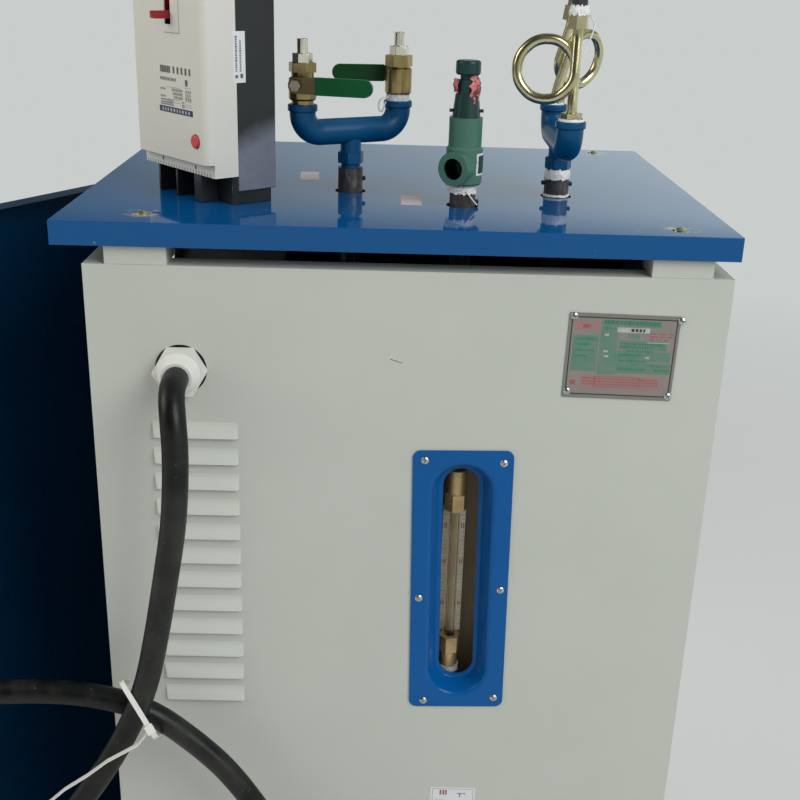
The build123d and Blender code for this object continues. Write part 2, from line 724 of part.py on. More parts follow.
def steam_header():
    body = elbow_header(HEADER_LEN, HEADER_TOP, HEADER_Z) + header_branch(HEADER_Z)
    return on_lid(STEAM_X, STEAM_Y, HEADER_TURN, body)


def gauge_header():
    body = elbow_header(GAUGE_HEADER_LEN, GAUGE_HEADER_TOP, GAUGE_HEADER_Z)
    body += header_branch(GAUGE_HEADER_Z)
    return on_lid(GAUGE_X, GAUGE_Y, GAUGE_HEADER_TURN, body)


def nipple(x, y, turn):
    z1 = STUB_TOP + NIPPLE_LOW
    part = rod(x, y, STUB_TOP, z1, NECK_R - NIPPLE_NECK_IN)
    return part + hexagon(x, y, z1, z1 + NIPPLE_HEX, NIPPLE_AF, turn)


def header_nipples():
    return Compound([nipple(STEAM_X, STEAM_Y, 20).solid(), nipple(GAUGE_X, GAUGE_Y, 5).solid()])


def header_end(way):
    """Plan position of an upright end of the steam header: -1 left, 1 right."""
    turn = radians(HEADER_TURN)
    reach = way * HEADER_LEN / 2
    return STEAM_X + reach * cos(turn), STEAM_Y + reach * sin(turn)


def ball_valve(low, neck_h, body_h, hex_h):
    """Brass ball valve drawn on the axis, its stem towards -Y."""
    top = low + VALVE_LEN
    part = rod(0, 0, low, top - hex_h, VALVE_NECK_R)
    barrel = Pos(0, 0, low + neck_h + body_h / 2) * Cylinder(VALVE_BODY_R, body_h)
    part += chamfer(barrel.edges().filter_by(GeomType.CIRCLE), VALVE_EDGE)
    part += hexagon(0, 0, top - hex_h, top, VALVE_HEX_AF)
    stem_z = low + VALVE_STEM_UP
    part += across(0, -LEVER_SEAT + FIT, 0, stem_z, STEM_COLLAR_R)
    return part + across(0, -STEM_L, 0, stem_z, STEM_R)


def left_valve():
    x, y = header_end(-1)
    valve = ball_valve(LEFT_VALVE_LOW, LEFT_NECK_H, LEFT_BODY_H, LEFT_HEX_H)
    return on_lid(x, y, LEFT_STEM_TURN, valve)


def right_valve():
    x, y = header_end(1)
    valve = ball_valve(RIGHT_VALVE_LOW, RIGHT_NECK_H, RIGHT_BODY_H, RIGHT_HEX_H)
    valve += rod(0, 0, HEADER_TOP, RIGHT_VALVE_LOW, NECK_R)
    return on_lid(x, y, RIGHT_STEM_TURN, valve)


def lever(low, length, start):
    """Flat handle in a plastic sleeve, towards +X, with the nut that holds it on the stem."""
    z = low + VALVE_STEM_UP
    end = length - LEVER_H / 2
    plate = Pos(end / 2, 0) * SlotCenterToCenter(end, LEVER_H)
    part = Pos(0, -LEVER_SEAT, z) * Rot(90, 0, 0) * extrude(plate, LEVER_T)
    wide = LEVER_H + SLEEVE_T
    sleeve = Pos((start + end) / 2, 0) * Rectangle(end - start, wide) + Pos(end, 0) * Circle(wide / 2)
    grip = extrude(sleeve, LEVER_T + 2 * SLEEVE_T)
    part += Pos(0, -LEVER_SEAT + SLEEVE_T, z) * Rot(90, 0, 0) * grip
    hexa = RegularPolygon(STEM_NUT_AF / 2, 6, major_radius=False)
    nut_y = -LEVER_SEAT - LEVER_T
    part += Pos(0, nut_y, z) * Rot(90, 0, 0) * extrude(hexa, STEM_NUT_T)
    return part - across(0, -STEM_L - FIT, -LEVER_SEAT, z, STEM_R + FIT)


def left_lever():
    x, y = header_end(-1)
    part = lever(LEFT_VALVE_LOW, LEFT_LEVER_L, LEFT_SLEEVE_START)
    return on_lid(x, y, LEFT_STEM_TURN, part)


def right_lever():
    x, y = header_end(1)
    part = lever(RIGHT_VALVE_LOW, RIGHT_LEVER_L, RIGHT_SLEEVE_START)
    return on_lid(x, y, RIGHT_STEM_TURN, part)


def outlet_nozzle(x, y, low):
    z = low + VALVE_LEN
    part = hexagon(x, y, z, z + NOZZLE_HEX_H, NOZZLE_HEX_AF, 10)
    z += NOZZLE_HEX_H
    part += rod(x, y, z, z + NOZZLE_H, NOZZLE_R)
    return part - rod(x, y, z - NOZZLE_HEX_H, z + NOZZLE_H, NOZZLE_BORE)


def outlet_nozzles():
    parts = []
    for way, low in ((-1, LEFT_VALVE_LOW), (1, RIGHT_VALVE_LOW)):
        x, y = header_end(way)
        parts.append(outlet_nozzle(x, y, low).solid())
    return Compound(parts)


def safety_body():
    """Angle body: inlet below, threaded outlet to one side."""
    body = rod(0, 0, SAFETY_LOW, SAFETY_TOP, SAFETY_R)
    bulk = Pos(0, 0, (SAFETY_LOW + SAFETY_SHOULDER) / 2) * Cylinder(
        SAFETY_BULK_R, SAFETY_SHOULDER - SAFETY_LOW
    )
    body += chamfer(bulk.edges().filter_by(GeomType.CIRCLE), SAFETY_EDGE)
    body += across(0, -OUTLET_REACH, 0, OUTLET_Z, OUTLET_R)
    body -= across(0, -OUTLET_REACH - 1, -OUTLET_REACH + OUTLET_DEEP, OUTLET_Z, OUTLET_BORE)
    body += rod(0, 0, LID_TOP + SAFETY_SOCKET_UP, SAFETY_LOW, NECK_R)
    return on_lid(SAFETY_X, SAFETY_Y, OUTLET_TURN, body)


def safety_bonnet():
    low = SAFETY_TOP
    cone = Pos(0, 0, low + BONNET_H / 2) * Cone(BONNET_R, BONNET_TOP_R, BONNET_H)
    neck = rod(0, 0, low + BONNET_H, low + BONNET_H + BONNET_NECK_H, BONNET_NECK_R)
    pin = Pos(0, 0, SAFETY_PIN_Z) * Rot(0, 90, 0) * Cylinder(SAFETY_PIN_R, SAFETY_PIN_L)
    return on_lid(SAFETY_X, SAFETY_Y, 0, cone + neck + pin)


def safety_cap():
    low = SAFETY_TOP + BONNET_H + BONNET_NECK_H
    neck = rod(SAFETY_X, SAFETY_Y, low, low + CAP_GAP, CAP_NECK_R)
    top = Pos(SAFETY_X, SAFETY_Y, low + CAP_GAP + CAP_H / 2) * Cylinder(CAP_R, CAP_H)
    return neck + fillet(top.edges().filter_by(GeomType.CIRCLE), CAP_ROUND)


def siphon():
    """Coil siphon drawn on the axis: base nut, one round loop towards +X, top nut."""
    step = 2 * pi / LOOP_CORNERS
    corner = LOOP_R / cos(step / 2)
    pts = [(0, 0, 0), (0, 0, SIPHON_NUT_H + LOOP_LEAD)]
    for k in range(LOOP_CORNERS):
        angle = pi - step / 2 - step * k
        depth = LOOP_APART * (k / (LOOP_CORNERS - 1) - 0.5)
        pts.append((LOOP_R + corner * cos(angle), depth, LOOP_UP + corner * sin(angle)))
    pts += [(0, 0, SIPHON_TOP - LOOP_LEAD), (0, 0, SIPHON_TOP)]
    line, radii = rounded_route(pts)
    tube = sweep(Plane(origin=line @ 0, z_dir=line % 0) * Circle(SIPHON_R), path=line)
    tube += hexagon(0, 0, 0, SIPHON_NUT_H, SIPHON_NUT_AF, 10)
    tube += hexagon(0, 0, SIPHON_TOP, SIPHON_TOP + TOP_NUT_H, TOP_NUT_AF, 20)
    return tube


def gauge_end(way):
    turn = radians(GAUGE_HEADER_TURN)
    reach = way * GAUGE_HEADER_LEN / 2
    return GAUGE_X + reach * cos(turn), GAUGE_Y + reach * sin(turn)


def front_siphon():
    x, y = gauge_end(-1)
    return Pos(x, y, GAUGE_HEADER_TOP) * Rot(0, 0, FRONT_LOOP_TURN) * siphon()


def rear_place():
    x, y = gauge_end(1)
    lift = SIPHON_NUT_AF / 2 * sin(radians(REAR_LEAN)) + FIT
    return Pos(x, y, GAUGE_HEADER_TOP + lift) * Rot(0, REAR_LEAN, 0)


def rear_siphon():
    return rear_place() * Rot(0, 0, REAR_LOOP_TURN) * siphon()


def pressure_gauge():
    """Round dial gauge standing on the front siphon."""
    x, y = gauge_end(-1)
    z = GAUGE_HEADER_TOP + SIPHON_TOP + TOP_NUT_H
    part = hexagon(x, y, z, z + DIAL_STEM_H, DIAL_STEM_AF, 15)
    zc = z + DIAL_SEAT + DIAL_R
    case = Pos(x, y, zc) * Rot(90, 0, 0) * Cylinder(DIAL_R, DIAL_T)
    case = fillet(case.edges().filter_by(GeomType.CIRCLE), DIAL_ROUND)
    return part + rod(x, y, z + DIAL_SEAT, zc, DIAL_STEM_R) + case


def pressure_switch():
    """Pressure switch with its round base, on the rear siphon."""
    z = SIPHON_TOP + TOP_NUT_H
    base_z = z + SWITCH_STEM_H
    box_z = base_z + SWITCH_BASE_H
    part = hexagon(0, 0, z, base_z, DIAL_STEM_AF, 15)
    part += rod(0, 0, base_z, box_z, SWITCH_BASE_R)
    box = block(-SWITCH_W / 2, SWITCH_W / 2, -SWITCH_D / 2, SWITCH_D / 2, box_z, box_z + SWITCH_H)
    box = fillet(box.edges().filter_by(Axis.Z), SWITCH_ROUND)
    return rear_place() * (part + box)


def on_breaker(part):
    """The breaker is drawn with its foot's front right corner at the origin."""
    return Pos(BREAKER_X, BREAKER_Y, LID_TOP) * Rot(0, 0, BREAKER_TURN) * part


def terminal_walls(z0, z1, back):
    """Walls between the terminals, up to the strip's front."""
    walls = []
    for pole in range(1, POLES + 1):
        x = -WALL_RIGHT - POLE_PITCH * pole
        width = THICK_WALL if pole == 1 else WALL_T
        walls.append(block(x, x + width, -WALL_OUT, back - FIT, z0, z1).solid())
    return walls


def breaker_base():
    x0 = -FOOT_W - BASE_OUT
    base = block(x0, BASE_OUT, BASE_FRONT, BASE_BACK, FOOT_H, BREAKER_H - FOOT_H)
    for z0, z1 in ((0, FOOT_H), (BREAKER_H - FOOT_H, BREAKER_H)):
        base += block(-FOOT_W, 0, BASE_FRONT, FOOT_D, z0, z1)
    base += block(-FOOT_W, 0, 0, BASE_FRONT, 0, COVER_LOW - FIT)
    walls = terminal_walls(0, COVER_LOW - FIT, 0)
    walls += terminal_walls(BREAKER_H - COVER_LOW + FIT, BREAKER_H, BASE_FRONT)
    return on_breaker(Compound([base.solid(), *walls]))


def breaker_cover():
    x0 = -FOOT_W - BASE_OUT
    top = BREAKER_H - COVER_LOW
    cover = block(x0, BASE_OUT, -COVER_FRONT, BASE_FRONT - FIT, COVER_LOW, top)
    face = block(x0, BASE_OUT, -FACE_FRONT, -COVER_FRONT, FACE_LOW, BREAKER_H - FACE_LOW)
    upright = face.edges().filter_by(Axis.Z).group_by(Axis.Y)[0]
    cover += fillet(upright, FACE_ROUND)
    s = BASE_OUT - HANDLE_S
    half = SLOT_W / 2
    cover -= block(
        s - half, s + half, -FACE_FRONT, BASE_FRONT - SLOT_FLOOR, SLOT_LOW, SLOT_HIGH
    )
    cover -= toggle_place() * Rot(0, 90, 0) * Cylinder(TOGGLE_PIN_R + FIT, TOGGLE_PIN_L + 2 * FIT)
    b = BASE_OUT - BUTTON_S
    bore = BUTTON_R + BUTTON_GAP
    depth = BUTTON_IN + BUTTON_TRAVEL + BUTTON_FLOOR
    cover -= across(b, -FACE_FRONT, -FACE_FRONT + depth, BUTTON_Z, bore)
    return on_breaker(cover)


def toggle_place():
    """Middle of the toggle's pin, behind the slot."""
    return Pos(BASE_OUT - HANDLE_S, -FACE_FRONT + HANDLE_PIVOT_IN, TOGGLE_Z)


def breaker_handle():
    """Toggle on its pin, shown down: a level finger on a curved shield."""
    root = sqrt(SHIELD_R**2 - HANDLE_DOWN**2) - SHIELD_T
    tip = HANDLE_PIVOT_IN + HANDLE_OUT
    finger = Pos(0, -(root + tip) / 2, -HANDLE_DOWN) * Box(HANDLE_W, tip - root, HANDLE_T)
    finger = fillet(finger.edges().group_by(Axis.Y)[0], HANDLE_ROUND)
    on_axis = (Align.NONE, Align.NONE, Align.CENTER)
    ring = Cylinder(SHIELD_R, HANDLE_W, arc_size=SHIELD_ARC, align=on_axis)
    ring -= Cylinder(SHIELD_R - SHIELD_T, HANDLE_W)
    shield = Rot(0, 90, 0) * Rot(0, 0, SHIELD_LOW - SHIELD_ARC - 90) * ring
    arm = Pos(0, -SHIELD_R / 2, 0) * Box(HANDLE_W, SHIELD_R - SHIELD_T, HANDLE_T)
    arm = Rot(ARM_TURN, 0, 0) * arm
    part = finger + shield + arm + Rot(0, 90, 0) * Cylinder(HANDLE_HUB_R, HANDLE_W)
    part += Rot(0, 90, 0) * Cylinder(TOGGLE_PIN_R, TOGGLE_PIN_L)
    return on_breaker(toggle_place() * part)


def test_button():
    b = BASE_OUT - BUTTON_S
    y = -FACE_FRONT
    knob = across(b, y - BUTTON_OUT, y + BUTTON_IN, BUTTON_Z, BUTTON_R)
    front = knob.edges().filter_by(GeomType.CIRCLE).group_by(Axis.Y)[0]
    return on_breaker(fillet(front, BUTTON_ROUND))


def door_closed():
    """Folded pan with its open side to the body."""
    x1 = LEFT - DOOR_GAP
    x0 = x1 - DOOR_T
    y0 = FRONT
    y1 = BACK - DOOR_EDGE_GAP
    z0 = PLATE + DOOR_EDGE_GAP
    z1 = BODY_TOP - DOOR_EDGE_GAP
    pan = block(x0, x1, y0, y1, z0, z1)
    t = DOOR_SHEET
    pan -= block(x0 + t, x1, y0 + t, y1 - t, z0 + t, z1 - t)
    for z in hinge_heights():
        pan += block(HINGE_X - LEAF_T / 2, HINGE_X + LEAF_T / 2, y1, HINGE_Y, z, z + KNUCKLE_H)
        pan += rod(HINGE_X, HINGE_Y, z, z + KNUCKLE_H, KNUCKLE_R)
        pan -= rod(HINGE_X, HINGE_Y, z, z + KNUCKLE_H, PIN_R + FIT)
    return pan


def hinge_heights():
    low = PLATE + DOOR_EDGE_GAP + HINGE_ENDS
    high = BODY_TOP - DOOR_EDGE_GAP - HINGE_ENDS
    return low, (low + high) / 2, high


def swing(part):
    """Turns a part of the closed door to where the door stands open."""
    about = Pos(HINGE_X, HINGE_Y, 0) * Rot(0, 0, -DOOR_OPEN) * Pos(-HINGE_X, -HINGE_Y, 0)
    return about * part


def left_door():
    return swing(door_closed())


def door_latch():
    x0 = LEFT - DOOR_GAP - DOOR_T
    y = FRONT + LATCH_EDGE
    z = (BODY_TOP + PLATE) / 2
    knob = Pos(x0 - LATCH_OUT / 2, y, z) * Rot(0, 90, 0) * Cylinder(LATCH_R, LATCH_OUT)
    bar = Box(LATCH_BAR, LATCH_BAR_W, 2 * LATCH_R)
    knob += Pos(x0 - LATCH_OUT - LATCH_BAR / 2, y, z) * bar
    return swing(knob)


def door_hinges():
    """Fixed halves: a leaf on the back panel, a knuckle and its pin."""
    parts = []
    for z in hinge_heights():
        z0 = z - KNUCKLE_H - FIT
        z1 = z - FIT
        half = block(LEFT, LEFT + LEAF_L, BACK, BACK + LEAF_T, z0, z1)
        half += block(HINGE_X, LEFT, HINGE_Y - LEAF_T, HINGE_Y, z0, z1)
        half += block(LEFT, LEFT + LEAF_T, BACK, HINGE_Y, z0, z1)
        half += rod(HINGE_X, HINGE_Y, z0, z1, KNUCKLE_R)
        half += rod(HINGE_X, HINGE_Y, z1, z + KNUCKLE_H, PIN_R)
        parts.append(half.solid())
    return Compound(parts)


NODES = {
    "base_tray": base_tray,
    "front_panel": front_panel,
    "right_panel": right_panel,
    "back_panel": back_panel,
    "left_frame": left_frame,
    "partition": partition,
    "vessel": vessel_shape,
    "vessel_skirt": vessel_skirt,
    "riser_pipes": riser_pipes,
    "lid": lid,
    "lid_spacers": lid_spacers,
    "gauge_escutcheon": gauge_escutcheon,
    "gauge_glass": gauge_glass,
    "upper_gauge_cock": lambda: gauge_cock(UPPER_NUT_Z, 1),
    "lower_gauge_cock": lambda: gauge_cock(LOWER_NUT_Z, -1),
    "gauge_scale": gauge_scale,
    "rating_plate": rating_plate,
    "cable_gland": cable_gland,
    "power_cable": power_cable,
    "cable_coil": cable_coil,
    "cable_tie": cable_tie,
    "steam_header": steam_header,
    "header_nipples": header_nipples,
    "left_valve": left_valve,
    "right_valve": right_valve,
    "left_valve_lever": left_lever,
    "right_valve_lever": right_lever,
    "outlet_nozzles": outlet_nozzles,
    "safety_valve_body": safety_body,
    "safety_valve_bonnet": safety_bonnet,
    "safety_valve_cap": safety_cap,
    "gauge_header": gauge_header,
    "front_siphon": front_siphon,
    "rear_siphon": rear_siphon,
    "pressure_gauge": pressure_gauge,
    "pressure_switch": pressure_switch,
    "breaker_base": breaker_base,
    "breaker_cover": breaker_cover,
    "breaker_handle": breaker_handle,
    "test_button": test_button,
    "left_door": left_door,
    "door_latch": door_latch,
    "door_hinges": door_hinges,
}

for name, make in NODES.items():
    export_step(make(), f"parts/{name}.step")
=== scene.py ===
# %% [markdown]
# # Steam generator, dressed in Blender
#
# The solids of this machine come from a CAD model: cabinet, lid, pipes, valves, breaker and cable.
# Blender gives them their paint, metal and plastic, and adds what is too fine for the solids:
# screws, thread tape, scale marks, stickers and printing.
# First the frame is loaded.

# %% Load the frame
import json
import math
import random

import bmesh
import bpy
from mathutils import Matrix, Vector, noise


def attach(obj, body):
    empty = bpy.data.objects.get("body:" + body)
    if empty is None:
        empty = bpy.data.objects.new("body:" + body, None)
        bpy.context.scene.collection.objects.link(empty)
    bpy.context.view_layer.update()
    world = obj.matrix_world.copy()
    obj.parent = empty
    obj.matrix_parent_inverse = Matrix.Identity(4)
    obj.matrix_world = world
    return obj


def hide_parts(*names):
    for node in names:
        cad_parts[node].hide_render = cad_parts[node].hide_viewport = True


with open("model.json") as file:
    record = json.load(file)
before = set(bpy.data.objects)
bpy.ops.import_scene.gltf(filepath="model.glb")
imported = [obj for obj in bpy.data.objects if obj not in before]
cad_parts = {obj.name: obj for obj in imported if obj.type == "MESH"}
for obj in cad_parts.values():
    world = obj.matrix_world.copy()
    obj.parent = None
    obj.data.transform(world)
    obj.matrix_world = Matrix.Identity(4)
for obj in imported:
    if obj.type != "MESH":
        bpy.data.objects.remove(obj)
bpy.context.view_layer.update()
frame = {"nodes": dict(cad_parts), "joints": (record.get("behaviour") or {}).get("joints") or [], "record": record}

MM = 0.001
scene = bpy.context.scene
nodes = frame["nodes"]

# %% [markdown]
# ## The camera
#
# The eye stands in front of the machine, a little left of its middle and above the lid, and looks
# down on it. A camera in Blender looks along its own -Z, so a tilt of 90 degrees would be level and
# a smaller one looks down. The lens is in millimetres on a 36 mm wide sensor.

# %% Set the camera
EYE = Vector((-22.9, -1262.6, 1474.9)) * MM
EYE_TURN = (68.944, -1.589, -0.364)      # tilt, roll and pan in degrees
LENS = 51.32
SENSOR = 36.0

camera_data = bpy.data.cameras.new("camera")
camera_data.lens = LENS
camera_data.sensor_width = SENSOR
camera = bpy.data.objects.new("camera", camera_data)
camera.location = EYE
camera.rotation_euler = [math.radians(a) for a in EYE_TURN]
scene.collection.objects.link(camera)
scene.camera = camera
scene.view_settings.view_transform = "Standard"
print("camera looks down", round(90 - EYE_TURN[0], 1), "degrees")

# %% [markdown]
# ## Shader helpers
#
# A material is a tree of nodes that ends in a shader. These few helpers keep the later cells
# short. Each takes either a plain value or the output of another node, so that a finish reads as
# a list of what it is made from.

# %% Plug, set and start
def plug(socket, value):
    """Links another node's output to a socket, or writes a plain value into it."""
    if isinstance(value, bpy.types.NodeSocket):
        socket.id_data.links.new(value, socket)
    else:
        socket.default_value = value


def set_inputs(made, values):
    for label, value in values.items():
        plug(made.inputs[label], value)
    return made


def start_material(name):
    """A new material, its tree, its shader and the place on the object."""
    material = bpy.data.materials.new(name)
    material.use_nodes = True
    tree = material.node_tree
    place = tree.nodes.new("ShaderNodeTexCoord").outputs["Object"]
    return material, tree, tree.nodes["Principled BSDF"], place


print("materials at the start:", len(bpy.data.materials))

# %% [markdown]
# ## Mixing and measuring
#
# Most finishes are two colours and a mask between them, and many masks are a number that is mapped
# from one range to another. These helpers add one node each and hand over its output, so they can
# be written inside each other, as in arithmetic.

# %% Mix, map and bump
def use_group(tree, group, place, **values):
    made = tree.nodes.new("ShaderNodeGroup")
    made.node_tree = group
    set_inputs(made, {"Vector": place, **values})
    return made.outputs[0]


def mix_color(tree, mask, first, second):
    """first where the mask is 0, second where it is 1; each a colour or a socket."""
    made = tree.nodes.new("ShaderNodeMix")
    made.data_type = "RGBA"
    plug(made.inputs[0], mask)
    for socket, value in zip(made.inputs[6:8], (first, second)):
        plug(socket, (*value, 1) if isinstance(value, tuple) else value)
    return made.outputs[2]


def span(tree, value, low, high, start=0.0, end=1.0):
    """Maps a value from start..end to low..high."""
    made = tree.nodes.new("ShaderNodeMapRange")
    set_inputs(made, {
        "Value": value, "From Min": start, "From Max": end, "To Min": low, "To Max": high,
    })
    return made.outputs["Result"]


def calculate(tree, operation, first, second=0.0):
    made = tree.nodes.new("ShaderNodeMath")
    made.operation = operation
    for socket, value in zip(made.inputs, (first, second)):
        plug(socket, value)
    return made.outputs[0]


def times(tree, first, second):
    return calculate(tree, "MULTIPLY", first, second)


def axes(tree, place):
    """The X, Y and Z of a place, one output each."""
    made = tree.nodes.new("ShaderNodeSeparateXYZ")
    plug(made.inputs[0], place)
    return made.outputs


def bump(tree, shader, height, distance, strength=1.0):
    made = tree.nodes.new("ShaderNodeBump")
    set_inputs(made, {"Strength": strength, "Distance": distance, "Height": height})
    plug(shader.inputs["Normal"], made.outputs["Normal"])


print("shader inputs that finishes set: Base Color, Roughness, Metallic, IOR, Normal")

# %% [markdown]
# ## Shared effects
#
# Dirt, grain and brushing turn up on many finishes, so each one is a node group that is built
# once. A group here only puts out a mask or a height between 0 and 1, and the material decides
# what that does to its colour, its roughness or its bump.

# %% Groups of soft noise
def new_group(name, sizes, output):
    """An empty group with a Vector input, some named sizes and one output."""
    group = bpy.data.node_groups.new(name, "ShaderNodeTree")
    group.interface.new_socket("Vector", in_out="INPUT", socket_type="NodeSocketVector")
    for label, value in sizes.items():
        socket = group.interface.new_socket(label, in_out="INPUT", socket_type="NodeSocketFloat")
        socket.default_value = value
    group.interface.new_socket(output, in_out="OUTPUT", socket_type="NodeSocketFloat")
    start = group.nodes.new("NodeGroupInput")
    end = group.nodes.new("NodeGroupOutput")
    return group, start.outputs, end.inputs[0]


def noise_in(group, vector, scale, detail):
    made = group.nodes.new("ShaderNodeTexNoise")
    set_inputs(made, {"Vector": vector, "Scale": scale, "Detail": detail, "Roughness": 0.55})
    return made.outputs["Fac"]


def patches():
    """Soft patches: Edge sets how much of the surface they cover."""
    group, given, out = new_group("patches", {"Scale": 6, "Edge": 0.55, "Softness": 0.12}, "Mask")
    cloud = noise_in(group, given["Vector"], given["Scale"], 5)
    low = calculate(group, "SUBTRACT", given["Edge"], given["Softness"])
    high = calculate(group, "ADD", given["Edge"], given["Softness"])
    plug(out, span(group, cloud, 0.0, 1.0, low, high))
    return group


def grain():
    """Fine texture of a cast, sprayed or moulded skin, with a coarser wave under it."""
    group, given, out = new_group("grain", {"Scale": 900, "Wave": 0.4}, "Height")
    fine = noise_in(group, given["Vector"], given["Scale"], 3)
    wide = noise_in(group, given["Vector"], times(group, given["Scale"], 0.12), 2)
    plug(out, calculate(group, "ADD", fine, times(group, wide, given["Wave"])))
    return group


def brushing():
    """Fine lines: the pattern is squeezed across X and Y and drawn out along Z."""
    group, given, out = new_group("brushing", {"Scale": 500, "Drawn": 0.03}, "Mask")
    x, y, z = axes(group, given["Vector"])
    whole = group.nodes.new("ShaderNodeCombineXYZ")
    set_inputs(whole, {"X": x, "Y": y, "Z": times(group, z, given["Drawn"])})
    plug(out, noise_in(group, whole.outputs[0], given["Scale"], 4))
    return group


def rising_dirt():
    """Dirt that is thick at Low and fades out by High, broken up by noise."""
    group, given, out = new_group("rising_dirt", {"Low": 0.0, "High": 0.4, "Scale": 14}, "Mask")
    height = axes(group, given["Vector"])[2]
    fade = span(group, height, 1.0, 0.0, given["Low"], given["High"])
    plug(out, times(group, fade, noise_in(group, given["Vector"], given["Scale"], 6)))
    return group


PATCHES = patches()
GRAIN = grain()
BRUSHING = brushing()
RISING_DIRT = rising_dirt()
print("soft groups:", [g.name for g in bpy.data.node_groups])

# %% [markdown]
# ## Effects made of cells
#
# Dust specks and the crystals of galvanised sheet are single shapes, other than clouds of noise. A
# Voronoi texture divides space into cells and gives each one a random colour, which is used here
# as a choice: which cells get a speck, and how grey each crystal is.

# %% Groups of cells
def cells_in(group, given):
    """Round cells: the distance to each cell's middle, and three random numbers for it."""
    made = group.nodes.new("ShaderNodeTexVoronoi")
    set_inputs(made, {"Vector": given["Vector"], "Scale": given["Scale"]})
    chances = group.nodes.new("ShaderNodeSeparateColor")
    plug(chances.inputs[0], made.outputs["Color"])
    return made.outputs["Distance"], chances.outputs


def specks():
    """Scattered round specks: a cell gets one if its random value passes Share."""
    group, given, out = new_group("specks", {"Scale": 60, "Size": 0.12, "Share": 0.8}, "Mask")
    distance, chances = cells_in(group, given)
    dot = calculate(group, "LESS_THAN", distance, given["Size"])
    plug(out, times(group, dot, calculate(group, "GREATER_THAN", chances[0], given["Share"])))
    return group


def spangle():
    """The grey crystals of hot-dip galvanising, one value for each cell."""
    group, given, out = new_group("spangle", {"Scale": 90}, "Value")
    plug(out, cells_in(group, given)[1][1])
    return group


SPECKS = specks()
SPANGLE = spangle()
print("all groups:", len(bpy.data.node_groups))

# %% [markdown]
# ## Recipes for skins and metals
#
# Paint and plastic differ in colour, gloss and grain, but are made alike: a base colour, a second
# one in soft patches, dirt that gathers low down, and a bump from the grain. The index of
# refraction sets how much a skin mirrors when it is looked at straight on: low for a deep enamel.
# What lies in a fixed place, such as the painted shade round the gland's nut, is a small function of
# its own that the recipe calls. Ink, paper and small parts need only one mask for both colour and gloss.

# %% Three recipes
def skin(
    name, colour, worn, rough, grain_scale=900, grain_depth=0.02, index=1.45, dirt=None, mark=None
):
    """Paint or plastic; dirt is (colour, height it fades out at), mark changes the colour."""
    material, tree, shader, place = start_material(name)
    mottled = use_group(tree, PATCHES, place, Scale=7.0, Edge=0.55, Softness=0.25)
    tint = mix_color(tree, mottled, colour, worn)
    if dirt:
        low = use_group(tree, RISING_DIRT, place, High=dirt[1])
        tint = mix_color(tree, low, tint, dirt[0])
    if mark:
        tint = mark(tree, place, tint)
    smear = use_group(tree, PATCHES, place, Scale=19.0, Edge=0.5, Softness=0.3)
    set_inputs(shader, {
        "Base Color": tint, "Roughness": span(tree, smear, rough, rough + 0.1), "IOR": index,
    })
    bump(tree, shader, use_group(tree, GRAIN, place, Scale=grain_scale), grain_depth * MM)
    return material


def clouded(
    name, colour, worn, scale, rough=(0.45, 0.60), edge=0.52, softness=0.2,
    grain_scale=1400.0, grain_depth=0.01, mark=None,
):
    """Ink, paper, tape or a small part: one mask of patches sets its colour and its gloss."""
    material, tree, shader, place = start_material(name)
    cloud = use_group(tree, PATCHES, place, Scale=scale, Edge=edge, Softness=softness)
    tint = mix_color(tree, cloud, colour, worn)
    if mark:
        tint = mark(tree, place, tint)
    set_inputs(shader, {"Base Color": tint, "Roughness": span(tree, cloud, *rough)})
    bump(tree, shader, use_group(tree, GRAIN, place, Scale=grain_scale), grain_depth * MM)
    return material


def metal(
    name, colour, dull, rough, drawn=0.03, scale=500.0, patch=0.5, depth=0.5, spread=0.17,
    shown=1.0,
):
    """Bare metal: brushed lines in roughness and bump, duller patches in the colour."""
    material, tree, shader, place = start_material(name)
    spots = use_group(tree, PATCHES, place, Scale=45.0, Edge=patch, Softness=0.2)
    lines = use_group(tree, BRUSHING, place, Scale=scale, Drawn=drawn)
    set_inputs(shader, {
        "Base Color": mix_color(tree, spots, colour, dull),
        "Roughness": span(tree, lines, rough - 0.3 * spread, rough + 0.7 * spread),
        "Metallic": shown,
    })
    bump(tree, shader, lines, 0.02 * MM, depth)
    return material


print("groups that the recipes use:", [g.name for g in (PATCHES, RISING_DIRT, GRAIN, BRUSHING)])

# %% [markdown]
# ## The paints of this machine
#
# Colours are written as linear values, as Blender's shaders take them, and are those of the real
# surfaces under plain light: warm grey cabinet, deep blue lid and fittings. The door is that blue
# darkened, painted shade for the shadow it stands in. The louvres stand out of the front and get a
# lighter grey, a painted highlight for the light they catch. The cable gland is white nylon; round
# the hole, the nut that holds it from behind is painted black, as painted shade in the hole.

# %% Paints and plastics
FLOOR_DIRT = (0.16, 0.12, 0.09)
FRONT = -245.0           # outer face of the front panel
# painted highlight for the light that the louvre hoods catch
HOOD_HIGHLIGHT_GREY = (0.57, 0.595, 0.545)
NYLON = ((0.70, 0.71, 0.66), (0.62, 0.62, 0.56), 0.38, 800, 0.02)
# near-black painted shade for the gland's nut where it shows in the hole
HOLE_SHADE_BLACK = (0.004, 0.004, 0.004)
PLAIN_INDEX = 1.5        # what the shader starts with


def painted_hood_highlight(tree, place, tint):
    """A lighter grey, a painted highlight, on what stands in front of the front panel."""
    y = axes(tree, place)[1]
    proud = span(tree, y, 1.0, 0.0, (FRONT - 4.5) * MM, (FRONT - 0.2) * MM)
    return mix_color(tree, proud, tint, HOOD_HIGHLIGHT_GREY)


